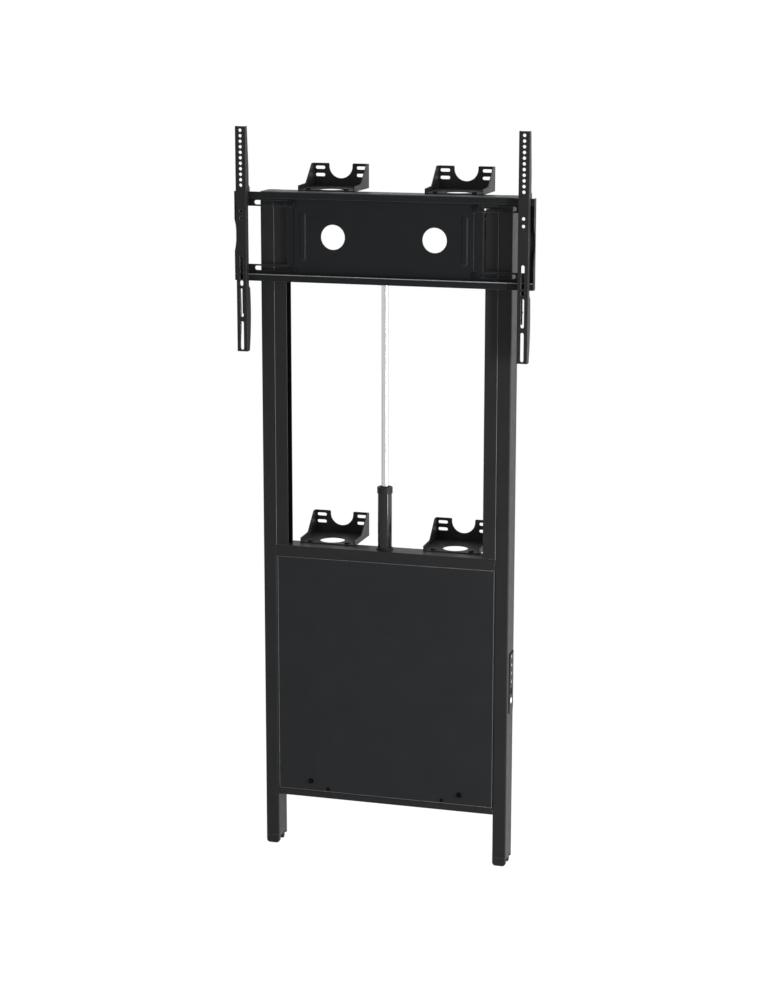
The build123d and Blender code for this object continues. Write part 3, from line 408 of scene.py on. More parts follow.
FINISHES = (
    Finish("powder_coat", (0.0150, 0.0152, 0.0157), 0.42, edge=0.0016, painted_edge_highlight=0.17),
    # guide posts: painted shade darkens the inside of their channels
    Finish(
        "post_coat_painted_shade", (0.0150, 0.0152, 0.0157), 0.42, edge=0.0016, painted_edge_highlight=0.17,
        shade_depths=(-0.0692, -0.0308),
    ),
    # light finishes of the strips that stand in for highlights on creases, edges and bends
    Finish("highlight_coat", (0.120, 0.121, 0.124), 0.35, edge=0.0003, relief=0.00001),
    Finish("strong_highlight", (0.33, 0.33, 0.335), 0.35, edge=0.0003, relief=0.00001),
    Finish(
        "plate_coat", (0.0104, 0.0117, 0.0130), 0.44, edge=0.0016, painted_edge_highlight=0.10, gloss=0.09,
    ),
    Finish(
        "panel_coat", (0.0132, 0.0149, 0.0161), 0.40, relief=0.00002, edge=0.0020,
        painted_edge_highlight=0.17,
    ),
    Finish("bracket_coat", (0.017, 0.017, 0.0175), 0.45, painted_edge_highlight=0.03, gloss=0.16),
    Finish(
        "black_zinc", (0.005, 0.005, 0.0055), 0.38, grain=Grain.POLISHED, edge=0.0004,
        painted_edge_highlight=0.03,
    ),
    Finish(
        "bright_steel", (0.62, 0.62, 0.63), 0.28, metal=1.0, grain=Grain.TURNED,
        grain_size=0.0004, relief=0.000004, edge=0.0003,
    ),
    Finish(
        "chrome_rod", (0.53, 0.535, 0.54), 0.2, metal=1.0, grain=Grain.POLISHED,
        relief=0.0000003, drift=0.02, shine_drift=0.02, edge=0.0003,
    ),
    Finish(
        "black_plastic", (0.0155, 0.0156, 0.0162), 0.46, grain=Grain.MOULDED,
        grain_size=0.0006, relief=0.00002, edge=0.0006, painted_edge_highlight=0.03,
    ),
    Finish(
        "tube_paint", (0.010, 0.0102, 0.011), 0.16, grain=Grain.POLISHED, relief=0.0000005,
        shine_drift=0.02, gloss=0.05, coat=0.4, coat_roughness=0.05,
    ),
    Finish(
        "cast_alloy", (0.42, 0.42, 0.43), 0.5, metal=0.85, grain=Grain.CAST,
        grain_size=0.002, relief=0.00012, drift=0.1,
    ),
    Finish(
        "nylon", (0.74, 0.73, 0.69), 0.45, grain=Grain.TURNED, grain_size=0.0008,
        relief=0.00001,
    ),
    Finish(
        "wheel_rubber", (0.010, 0.010, 0.011), 0.7, grain=Grain.MOULDED,
        grain_size=0.0009, relief=0.00004, edge=0.0005, gloss=0.15,
    ),
    Finish(
        "key_plastic", (0.06, 0.06, 0.062), 0.45, grain=Grain.MOULDED,
        grain_size=0.0006, relief=0.00001, edge=0.0004,
    ),
    Finish(
        "white_lens", (0.62, 0.62, 0.61), 0.25, grain=Grain.POLISHED, relief=0.000002,
        drift=0.02, coat=0.6, edge=0.0004,
    ),
    Finish("board_green", (0.03, 0.16, 0.07), 0.4, grain=Grain.BOARD, drift=0.1),
    Finish("key_mark", (0.45, 0.45, 0.45), 0.5, grain=Grain.MOULDED, edge=0.0002),
    Finish(
        "seal_rubber", (0.004, 0.004, 0.004), 0.8, grain=Grain.MOULDED,
        grain_size=0.0008, relief=0.00002, edge=0.0003, gloss=0.04,
    ),
)
LOOKS = {
    "screen_plate": "plate_coat", "carriage_frame": "plate_coat", "stop_key": "seal_rubber",
    "left_guide_post": "post_coat_painted_shade", "right_guide_post": "post_coat_painted_shade",
}


class Paint:
    """Keeps one material for each finish and puts it on the pieces."""

    def __init__(self) -> None:
        """Build every material once."""
        self.materials = {finish.slot: finish.make() for finish in FINISHES}

    def dress_solids(self, record: dict) -> int:
        """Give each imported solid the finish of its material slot.

        Args:
            record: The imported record.

        Returns:
            The number of solids dressed.
        """
        for entry in record["subparts"]:
            look = LOOKS.get(entry["node"], entry["material_slot"])
            for slot in frame["nodes"][entry["node"]].material_slots:
                slot.material = self.materials[look]
        return len(record["subparts"])

    def dress(self, piece: bpy.types.Object, look: str, slot: str | None = None) -> None:
        """Put one finish on a new piece.

        Args:
            piece: The new piece.
            look: The finish that it shows.
            slot: The record's slot that it counts under, where it differs; not used.
        """
        piece.data.materials.clear()
        piece.data.materials.append(self.materials[look])


class Workshop:
    """The shaping steps that the small parts share."""

    BEVEL_ANGLE = math.radians(35)
    SMOOTH_ANGLE = math.radians(40)

    @staticmethod
    def clear() -> None:
        """Deselect everything."""
        bpy.ops.object.select_all(action="DESELECT")

    @classmethod
    def pick(cls, *pieces: bpy.types.Object) -> None:
        """Select these pieces, the first one active."""
        cls.clear()
        for piece in pieces:
            piece.select_set(True)
        bpy.context.view_layer.objects.active = pieces[0]

    @classmethod
    def settle(cls, name: str) -> bpy.types.Object:
        """Name the new primitive and put its place in its mesh.

        Args:
            name: The piece's name.

        Returns:
            The piece, at the origin.
        """
        piece = bpy.context.active_object
        piece.name = piece.data.name = name
        cls.pick(piece)
        bpy.ops.object.transform_apply(location=True, rotation=True, scale=True)
        return piece

    @classmethod
    def rod(
        cls, name: str, radius: float, length: float, centre: Triple, axis: Axis, sides: int
    ) -> bpy.types.Object:
        """Add a round or many-sided bar.

        Args:
            name: The piece's name.
            radius: Radius to its corners.
            length: Length along the axis.
            centre: Its middle.
            axis: The way it lies.
            sides: Number of its sides.

        Returns:
            The bar.
        """
        cls.clear()
        bpy.ops.mesh.primitive_cylinder_add(
            vertices=sides, radius=radius, depth=length, location=centre, rotation=axis.value
        )
        return cls.settle(name)

    @classmethod
    def slab(cls, name: str, size: Triple, centre: Triple) -> bpy.types.Object:
        """Add a rectangular block.

        Args:
            name: The piece's name.
            size: Length along each axis.
            centre: Its middle.

        Returns:
            The block.
        """
        cls.clear()
        bpy.ops.mesh.primitive_cube_add(size=1.0, location=centre, scale=size)
        return cls.settle(name)

    @classmethod
    def bead(cls, name: str, radius: float, centre: Triple) -> bpy.types.Object:
        """Add a small ball.

        Args:
            name: The piece's name.
            radius: Its radius.
            centre: Its middle.

        Returns:
            The ball.
        """
        cls.clear()
        bpy.ops.mesh.primitive_uv_sphere_add(
            segments=12, ring_count=8, radius=radius, location=centre
        )
        return cls.settle(name)

    @staticmethod
    @contextmanager
    def editing(piece: bpy.types.Object) -> Iterator[bmesh.types.BMesh]:
        """Work on a piece in edit mode, with nothing selected at first.

        Args:
            piece: The piece.

        Yields:
            Its mesh under edit.
        """
        Workshop.pick(piece)
        bpy.ops.object.mode_set(mode="EDIT")
        bpy.ops.mesh.select_mode(type="FACE")
        bpy.ops.mesh.select_all(action="DESELECT")
        yield bmesh.from_edit_mesh(piece.data)
        bpy.ops.object.mode_set(mode="OBJECT")

    @staticmethod
    def choose(
        piece: bpy.types.Object,
        mesh: bmesh.types.BMesh,
        wanted: Callable[[bmesh.types.BMFace], bool],
    ) -> None:
        """Select the faces that meet a test.

        Args:
            piece: The piece in edit mode.
            mesh: Its mesh under edit.
            wanted: The test.
        """
        for face in mesh.faces:
            face.select_set(wanted(face))
        bmesh.update_edit_mesh(piece.data)

    @classmethod
    def apply(cls, piece: bpy.types.Object, kind: str, **settings: object) -> None:
        """Add a modifier and apply it.

        Args:
            piece: The piece.
            kind: The modifier's type.
            **settings: The modifier's properties.
        """
        cls.pick(piece)
        modifier = piece.modifiers.new(kind.lower(), kind)
        for key, value in settings.items():
            setattr(modifier, key, value)
        bpy.ops.object.modifier_apply(modifier=modifier.name)

    @classmethod
    def soften(cls, piece: bpy.types.Object, width: float, segments: int = 2) -> None:
        """Bevel the sharp edges and shade the rest smooth.

        Args:
            piece: The piece.
            width: The bevel's width.
            segments: Its steps.
        """
        cls.apply(
            piece, "BEVEL", width=width, segments=segments, limit_method="ANGLE",
            angle_limit=cls.BEVEL_ANGLE,
        )
        cls.pick(piece)
        bpy.ops.object.shade_smooth_by_angle(angle=cls.SMOOTH_ANGLE)

    @classmethod
    def carve(cls, piece: bpy.types.Object, tool: bpy.types.Object) -> None:
        """Cut one piece's shape out of another and remove the tool.

        Args:
            piece: The piece that is cut.
            tool: The piece that cuts.
        """
        cls.apply(piece, "BOOLEAN", operation="DIFFERENCE", object=tool, solver="EXACT")
        bpy.data.objects.remove(tool)

    @classmethod
    def spread(cls, name: str, master: bpy.types.Object, spots: list[Spot]) -> bpy.types.Object:
        """Put a copy of a small part on each spot and join the copies.

        Args:
            name: The joined piece's name.
            master: The part, which is removed afterwards.
            spots: Place and turn of each copy.

        Returns:
            The joined piece.
        """
        twins = []
        for place, turn in spots:
            cls.pick(master)
            bpy.ops.object.duplicate(linked=False)
            twin = bpy.context.active_object
            twin.rotation_euler = turn
            twin.location = place
            bpy.ops.object.transform_apply(location=True, rotation=True, scale=True)
            twins.append(twin)
        bpy.data.objects.remove(master)
        return cls.merge(name, twins)

    @classmethod
    def merge(cls, name: str, pieces: list[bpy.types.Object]) -> bpy.types.Object:
        """Join several pieces into one.

        Args:
            name: The joined piece's name.
            pieces: What is joined.

        Returns:
            The joined piece.
        """
        cls.pick(*pieces)
        if len(pieces) > 1:
            bpy.ops.object.join()
        piece = bpy.context.active_object
        piece.name = piece.data.name = name
        return piece


class Hardware:
    """Makes screws, bolts and nuts, seated on the origin and facing up.

    The constants are shares of a part's own width, radius or height. Only TOP_NORMAL is the
    upward share of a normal, past which a face counts as a top or an underside.
    """

    CORNER_CUT = 0.566
    CORNER_BEVEL = 0.075
    FLAT_EDGE = 0.012
    SOCKET_WIDTH = 0.5
    SOCKET_CUT = 1.2
    BUTTON_ROUND = 0.3
    DOME_ROUND = 0.35
    CROSS_LENGTH = 1.2
    CROSS_WIDTH = 0.28
    RIB_INSET = 0.02
    RIB_DEPTH = 0.06
    RIB_EDGE = 0.03
    COIN_SLOT = 0.16
    COIN_DEPTH = 0.4
    TOP_NORMAL = 0.5

    @staticmethod
    def upright(
        name: str, radius: float, low: float, high: float, sides: int
    ) -> bpy.types.Object:
        """Make an upright bar between two heights.

        Args:
            name: The bar's name.
            radius: Radius to its corners.
            low: Height of its underside.
            high: Height of its top.
            sides: Number of its sides.

        Returns:
            The bar.
        """
        return Workshop.rod(name, radius, high - low, (0.0, 0.0, (low + high) / 2), Axis.Z, sides)

    @classmethod
    def shank(cls, radius: float, length: float) -> bpy.types.Object:
        """Make the part of a screw below its head.

        Args:
            radius: Its radius.
            length: Its length.

        Returns:
            The shank.
        """
        return cls.upright("shank", radius, -length, 0.0, sides=20)

    @classmethod
    def disc(cls, radius: float, low: float, high: float, edge: float) -> bpy.types.Object:
        """Make a round slab with soft rims.

        Args:
            radius: Its radius.
            low: Height of its underside.
            high: Height of its top.
            edge: Width of the rims' bevel.

        Returns:
            The disc.
        """
        piece = cls.upright("disc", radius, low, high, sides=40)
        Workshop.soften(piece, edge)
        return piece

    @classmethod
    def ring(
        cls, radius: float, bore: float, height: float, edge: float, sides: int = 48
    ) -> bpy.types.Object:
        """Make a flat ring.

        Args:
            radius: Its outer radius.
            bore: Its inner radius.
            height: Its height.
            edge: Width of the rims' bevel.
            sides: Number of its sides.

        Returns:
            The ring.
        """
        piece = cls.upright("ring", radius, 0.0, height, sides)
        Workshop.carve(piece, cls.upright("bore", bore, -height, 2 * height, sides))
        Workshop.soften(piece, edge)
        return piece

    @classmethod
    def hexagon(cls, across: float, low: float, high: float) -> bpy.types.Object:
        """Make a hexagonal head or nut with turned-off corners.

        Args:
            across: Width across its flats.
            low: Height of its underside.
            high: Height of its top.

        Returns:
            The hexagon.
        """
        piece = cls.upright("hexagon", across / math.sqrt(3), low, high, sides=6)
        limit = cls.upright("limit", across * cls.CORNER_CUT, low, high, sides=48)
        bevel = across * cls.CORNER_BEVEL
        Workshop.apply(limit, "BEVEL", width=bevel, segments=1, limit_method="ANGLE")
        Workshop.apply(piece, "BOOLEAN", operation="INTERSECT", object=limit, solver="EXACT")
        bpy.data.objects.remove(limit)
        Workshop.soften(piece, across * cls.FLAT_EDGE, segments=1)
        return piece

    @classmethod
    def socket_head(cls, radius: float, height: float) -> bpy.types.Object:
        """Make a button head with a hexagonal socket.

        Args:
            radius: Its radius.
            height: Its height.

        Returns:
            The head.
        """
        piece = cls.upright("head", radius, 0.0, height, sides=40)
        Workshop.soften(piece, height * cls.BUTTON_ROUND, segments=4)
        size = (radius * cls.SOCKET_WIDTH, height * cls.SOCKET_CUT)
        Workshop.carve(piece, Workshop.rod("socket", *size, (0.0, 0.0, height), Axis.Z, sides=6))
        return piece

    @classmethod
    def cross_head(cls, radius: float, height: float) -> bpy.types.Object:
        """Make a domed head with a cross recess.

        Args:
            radius: Its radius.
            height: Its height.

        Returns:
            The head.
        """
        piece = cls.upright("head", radius, 0.0, height, sides=32)
        Workshop.soften(piece, height * cls.DOME_ROUND, segments=4)
        long, thin = radius * cls.CROSS_LENGTH, radius * cls.CROSS_WIDTH
        for size in ((long, thin, height), (thin, long, height)):
            Workshop.carve(piece, Workshop.slab("recess", size, (0.0, 0.0, height)))
        return piece

    @classmethod
    def thumb_head(cls, radius: float, height: float, ribs: int = 20) -> bpy.types.Object:
        """Make a knurled head with a coin slot.

        Args:
            radius: Its radius.
            height: Its height.
            ribs: Number of ribs round its side.

        Returns:
            The head.
        """
        piece = cls.upright("thumb", radius, 0.0, height, sides=2 * ribs)
        step = math.pi / ribs
        with Workshop.editing(piece) as mesh:
            Workshop.choose(piece, mesh, lambda face: cls.is_groove(face.normal, step))
            inset, depth = radius * cls.RIB_INSET, radius * cls.RIB_DEPTH
            bpy.ops.mesh.inset(thickness=inset, depth=-depth, use_individual=True)
        Workshop.soften(piece, radius * cls.RIB_EDGE, segments=1)
        size = (3 * radius, radius * cls.COIN_SLOT, height * cls.COIN_DEPTH)
        Workshop.carve(piece, Workshop.slab("slot", size, (0.0, 0.0, height)))
        return piece

    @classmethod
    def is_groove(cls, normal: Vector, step: float) -> bool:
        """Tell whether a side face is every second one round an upright bar.

        Args:
            normal: The face's normal.
            step: Angle between neighbouring faces.

        Returns:
            True for a side face that is set back.
        """
        if abs(normal.z) > cls.TOP_NORMAL:
            return False
        return math.floor(math.atan2(normal.y, normal.x) / step) % 2 == 0


@dataclass
class Builder:
    """A sub-assembly that makes, dresses and mounts its pieces."""

    paint: Paint

    def mount(
        self, piece: bpy.types.Object, body: str, look: str, slot: str | None = None
    ) -> None:
        """Dress a piece and let it move with its body.

        Args:
            piece: The piece.
            body: The body that it rides on.
            look: Its finish.
            slot: The record's slot that it counts under, where it differs.
        """
        self.paint.dress(piece, look, slot)
        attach(piece, body)
        log.info("%s rides on %s, %d faces", piece.name, body, len(piece.data.polygons))


@dataclass
class WallFixings(Builder):
    """Hexagon bolts that hold the wall brackets to the beams."""

    across: float = 0.013
    head: float = 0.0053
    flange: float = 0.0004
    shank_radius: float = 0.004
    shank: float = 0.0083
    sheet: float = 0.003
    setback: float = 0.011
    offset: float = 0.055
    flange_share: float = 0.48

    def seats(self) -> list[Triple]:
        """Find the seats on the four brackets' base plates.

        Returns:
            The place of each bolt.
        """
        found = []
        for level in LEVELS:
            for side in SIDES:
                low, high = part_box(f"{level}_{side}_wall_bracket")
                middle = (low[0] + high[0]) / 2
                y, z = low[1] + self.setback, low[2] + self.sheet
                found += [(middle + hand * self.offset, y, z) for hand in HANDS]
        return found

    def build(self) -> None:
        """Make one bolt and set it in each seat."""
        bolt = Workshop.merge("bolt", [
            Hardware.hexagon(self.across, self.flange, self.head),
            Hardware.disc(self.across * self.flange_share, 0.0, self.flange, self.flange / 4),
            Hardware.shank(self.shank_radius, self.shank),
        ])
        piece = Workshop.spread("bracket_hex_bolts", bolt, Facing.UP.at(self.seats()))
        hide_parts("bracket_bolts")
        self.mount(piece, "frame", "black_zinc")


@dataclass
class PlateFixings(Builder):
    """Socket screws, washers and nuts through the screen plate's slots."""

    washer: float = 0.009
    washer_thickness: float = 0.0016
    head_radius: float = 0.0065
    head: float = 0.0045
    shank_radius: float = 0.004
    nut: float = 0.0045

    def build(self) -> None:
        """Make one screw and one nut and set them in the four places."""
        low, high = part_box("plate_screws")
        seat = low[1] + self.head + self.washer_thickness
        places = [
            (sign * (high[0] - self.washer), z)
            for sign in SIDES.values()
            for z in (low[2] + self.washer, high[2] - self.washer)
        ]
        head = Hardware.socket_head(self.head_radius, self.head)
        head.location.z = self.washer_thickness
        Workshop.pick(head)
        bpy.ops.object.transform_apply(location=True, rotation=False, scale=False)
        screw = Workshop.merge("screw", [
            head,
            Hardware.disc(self.washer, 0.0, self.washer_thickness, self.washer_thickness / 5),
            Hardware.shank(self.shank_radius, high[1] - seat),
        ])
        nut = Hardware.hexagon(self.head_radius * math.sqrt(3), -self.nut, 0.0)
        piece = Workshop.merge("plate_socket_screws", [
            Workshop.spread("screws", screw, Facing.FRONT.at((x, seat, z) for x, z in places)),
            Workshop.spread("nuts", nut, Facing.BACK.at((x, high[1], z) for x, z in places)),
        ])
        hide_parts("plate_screws")
        self.mount(piece, "carriage", "black_zinc")


@dataclass
class PanelFixings(Builder):
    """Two knurled screws and two small cross-head screws in the lower panel."""

    big_radius: float = 0.0065
    big_head: float = 0.005
    small_radius: float = 0.004
    small_head: float = 0.0025
    small_x: float = 0.17
    shank_radius: float = 0.0025
    shank: float = 0.0065
    seat_wide: float = 0.0016
    seat_thick: float = 0.0006

    def build(self) -> None:
        """Make one screw of each kind and set it on both sides."""
        low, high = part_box("panel_screws")
        seat = low[1] + self.big_head
        thumb = Workshop.merge("thumb", [
            Hardware.thumb_head(self.big_radius, self.big_head),
            Hardware.shank(self.shank_radius, self.shank),
        ])
        small = Workshop.merge("small", [
            Hardware.cross_head(self.small_radius, self.small_head),
            Hardware.shank(self.shank_radius, self.shank),
        ])
        big = (high[0] - self.big_radius, high[2] - self.big_radius)
        little = (self.small_x, low[2] + self.small_radius)
        piece = Workshop.merge("panel_knurled_screws", [
            Workshop.spread("thumbs", thumb, self.both_sides(*big, seat)),
            Workshop.spread("smalls", small, self.both_sides(*little, seat)),
        ])
        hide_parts("panel_screws")
        self.mount(piece, "frame", "seal_rubber", "black_zinc")
        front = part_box("front_panel")[0][1]
        seats = Workshop.merge("panel_screw_seats", [
            Workshop.spread("seats", self.seat(radius), self.both_sides(*place, front))
            for place, radius in ((big, self.big_radius), (little, self.small_radius))
        ])
        self.mount(seats, "frame", "seal_rubber", "wheel_rubber")

    @staticmethod
    def both_sides(x: float, z: float, y: float) -> list[Spot]:
        """Give a place on the right and its mirror image on the left.

        Args:
            x: Distance from the middle.
            z: Height.
            y: Depth.

        Returns:
            Both spots, facing the front.
        """
        return Facing.FRONT.at((sign * x, y, z) for sign in SIDES.values())

    def seat(self, radius: float) -> bpy.types.Object:
        """Make the flat rubber ring that lies under a screw.

        Args:
            radius: Radius of the screw's head.

        Returns:
            The ring.
        """
        thick = self.seat_thick
        return Hardware.ring(radius + self.seat_wide, radius / 2, thick, thick / 4, sides=40)


@dataclass
class LockKnobs(Builder):
    """Knurled screws that clamp the lock bars."""

    head: float = 0.008
    ribs: int = 16
    shank_radius: float = 0.003

    def build(self) -> None:
        """Make one for each arm."""
        for side in SIDES:
            low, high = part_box(f"{side}_lock_knob")
            radius = (high[0] - low[0]) / 2
            centre = ((low[0] + high[0]) / 2, high[1] - self.head, (low[2] + high[2]) / 2)
            knob = Workshop.merge("knob", [
                Hardware.thumb_head(radius, self.head, self.ribs),
                Hardware.shank(self.shank_radius, high[1] - self.head - low[1]),
            ])
            piece = Workshop.spread(f"{side}_clamp_screw", knob, Facing.BACK.at([centre]))
            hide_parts(f"{side}_lock_knob")
            self.mount(piece, f"{side}_lock", "black_plastic")


@dataclass
class KeypadTrim(Builder):
    """Marks on the keys, and the rings round the stop key and the lamp."""

    relief: float = 0.00025
    mark: float = 0.0042
    ring_width: float = 0.0022
    ring_rise: float = 0.0004
    dot: float = 0.0015
    dot_pitch: float = 0.0048
    well_width: float = 0.0018
    seal_width: float = 0.0085
    seal_top: float = 0.006
    seal_rise: float = 0.0005
    seal_corner: float = 0.007

    @staticmethod
    def centre(node: str) -> Triple:
        """Find the middle of a key's outer face."""
        low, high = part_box(node)
        return high[0], (low[1] + high[1]) / 2, (low[2] + high[2]) / 2

    @staticmethod
    def face() -> float:
        """Find how far out the housing's face lies."""
        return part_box("keypad_housing")[1][0]

    def arrow(self, key: str, facing: Facing) -> None:
        """Put a raised triangle on a key.

        Args:
            key: The key.
            facing: The way that the triangle lies.
        """
        tip = Hardware.upright("tip", self.mark, 0.0, self.relief, sides=3)
        Workshop.soften(tip, self.relief / 4, segments=1)
        piece = Workshop.spread(f"{key}_arrow", tip, facing.at([self.centre(key)]))
        self.mount(piece, key, "key_mark", "key_plastic")

    def dots(self, key: str, count: int) -> None:
        """Put a row of raised dots on a key.

        Args:
            key: The key.
            count: How many.
        """
        x, y, z = self.centre(key)
        row = [y + (number - (count - 1) / 2) * self.dot_pitch for number in range(count)]
        dot = Hardware.disc(self.dot, 0.0, self.relief, self.relief / 4)
        spots = Facing.RIGHT.at((x, across, z) for across in row)
        piece = Workshop.spread(f"{key}_dots", dot, spots)
        self.mount(piece, key, "key_mark", "key_plastic")

    def ring(self, node: str, look: str, slot: str = "black_plastic") -> None:
        """Put a ring round a round key or lens.

        Args:
            node: The solid that it goes round.
            look: Its finish.
            slot: The record's slot that it counts under.
        """
        low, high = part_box(node)
        radius = (high[2] - low[2]) / 2
        rise = self.ring_rise
        ring = Hardware.ring(radius + self.ring_width, radius + rise, rise, rise / 4)
        _, y, z = self.centre(node)
        piece = Workshop.spread(f"{node}_ring", ring, Facing.RIGHT.at([(self.face(), y, z)]))
        self.mount(piece, "frame", look, slot)

    @staticmethod
    def tablet(name: str, low: Triple, high: Triple, corner: float) -> bpy.types.Object:
        """Make a slab whose four edges along X are rounded.

        Args:
            name: The slab's name.
            low: Its lowest corner.
            high: Its highest corner.
            corner: Radius of the four edges.

        Returns:
            The slab.
        """
        size = tuple(b - a for a, b in zip(low, high))
        slab = Workshop.slab(name, size, tuple((a + b) / 2 for a, b in zip(low, high)))
        with Workshop.editing(slab) as mesh:
            bpy.ops.mesh.select_mode(type="EDGE")
            for edge in mesh.edges:
                first, second = edge.verts
                edge.select_set(abs(first.co.x - second.co.x) > size[0] / 2)
            bmesh.update_edit_mesh(slab.data)
            bpy.ops.mesh.bevel(offset=corner, segments=6)
        return slab

    def band(
        self, name: str, outer: Outline, inner: Outline, corner: float, rise: float, edge: float
    ) -> None:
        """Lay a flat dark band between two outlines on the housing's face.

        Args:
            name: The band's name.
            outer: Lowest and highest (Y, Z) of the outer outline.
            inner: Lowest and highest (Y, Z) of the inner outline.
            corner: Radius of the outer corners.
            rise: The band's thickness.
            edge: Width of its bevel.
        """
        face = self.face()
        band = self.tablet(name, (face, *outer[0]), (face + rise, *outer[1]), corner)
        hole = ((face - rise, *inner[0]), (face + 2 * rise, *inner[1]))
        Workshop.carve(band, self.tablet("inside", *hole, corner / 2))
        Workshop.soften(band, edge)
        self.mount(band, "frame", "seal_rubber", "wheel_rubber")

    def seal(self) -> None:
        """Lay a dark rubber seal along the front and the top of the housing's face."""
        (_, front, base), (_, back, top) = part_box("keypad_housing")
        wide, rise = self.seal_width, self.seal_rise
        outer = ((front, base), (back, top))
        inner = ((front + wide, base - wide), (back + wide, top - self.seal_top))
        self.band("keypad_seal", outer, inner, self.seal_corner, rise, rise / 3)

    def well(self, key: str) -> None:
        """Lay a dark frame round a key.

        Args:
            key: The key.
        """
        (_, front, base), (_, back, top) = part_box(key)
        wide, rise = self.well_width, self.ring_rise
        gap = rise / 2
        outer = ((front - wide, base - wide), (back + wide, top + wide))
        inner = ((front - gap, base - gap), (back + gap, top + gap))
        self.band(f"{key}_well", outer, inner, 2 * wide, rise, rise / 4)

    def build(self) -> None:
        """Mark the four keys, ring the round parts and seal the face."""
        self.arrow("key_1", Facing.RIGHT)
        self.arrow("key_2", Facing.RIGHT_DOWN)
        self.dots("key_3", 1)
        self.dots("key_4", 2)
        self.ring("stop_key", "black_plastic")
        self.ring("keypad_lamp", "white_lens", "white_lens")
        for number in range(1, 5):
            self.well(f"key_{number}")
        self.seal()


@dataclass
class EdgeTrim(Builder):
    """Slender light strips along creases and folds, painted highlights that stand in for light
    caught on rounded edges.
    """

    radius: float = 0.0010
    end_round: float = 0.4
    sides: int = 10
    crease_x: float = 0.321
    crease_y: float = -0.0698
    lip_radius: float = 0.0014
    lip_y: float = -0.0965
    lip_rise: float = 0.0182

    def line(
        self, name: str, start: Triple, end: Triple, radius: float | None = None
    ) -> bpy.types.Object:
        """Make a slender round strip between two points that differ along one axis.

        Args:
            name: The strip's name.
            start: Its first end.
            end: Its second end.
            radius: Its radius, where it isn't the usual one.

        Returns:
            The strip.
        """
        way = max(range(3), key=lambda axis: abs(end[axis] - start[axis]))
        axis = (Axis.X, Axis.Y, Axis.Z)[way]
        middle = tuple((a + b) / 2 for a, b in zip(start, end))
        radius = radius or self.radius
        strip = Workshop.rod(name, radius, abs(end[way] - start[way]), middle, axis, self.sides)
        Workshop.soften(strip, radius * self.end_round)
        return strip

    def creases(self) -> None:
        """Lay a light strip in the crease between each column and its guide post, as a painted
        highlight.
        """
        for side, sign in SIDES.items():
            low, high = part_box(f"{side}_guide_post")
            ends = [(sign * self.crease_x, self.crease_y, z) for z in (low[2], high[2])]
            piece = self.line(f"{side}_crease", *ends)
            self.mount(piece, "frame", "highlight_coat", "powder_coat")

    def panel_edge_highlight(self) -> None:
        """Frame the lower panel with four light strips, as a painted highlight along its edges."""
        low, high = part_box("front_panel")
        y = low[1] + self.radius / 2
        left, right = low[0] + self.radius, high[0] - self.radius
        base, top = low[2] + self.radius, high[2] - self.radius
        runs = [((x, y, base), (x, y, top)) for x in (left, right)]
        runs += [((left, y, z), (right, y, z)) for z in (base, top)]
        highlight_strips = Workshop.merge("panel_edge_highlight", [self.line("highlight_strips", *run) for run in runs])
        self.mount(highlight_strips, "frame", "highlight_coat", "panel_coat")

    def plate_lip_highlight(self) -> None:
        """Lay a light strip on the plate's lower lip, as a painted highlight on its bend."""
        low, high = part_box("screen_plate")
        reach = high[0] - self.radius
        ends = [(hand * reach, self.lip_y, low[2] + self.lip_rise) for hand in HANDS]
        piece = self.line("plate_lip_highlight", *ends, self.lip_radius)
        self.mount(piece, "carriage", "strong_highlight", "powder_coat")

    def build(self) -> None:
        """Lay every strip."""
        self.creases()
        self.panel_edge_highlight()
        self.plate_lip_highlight()


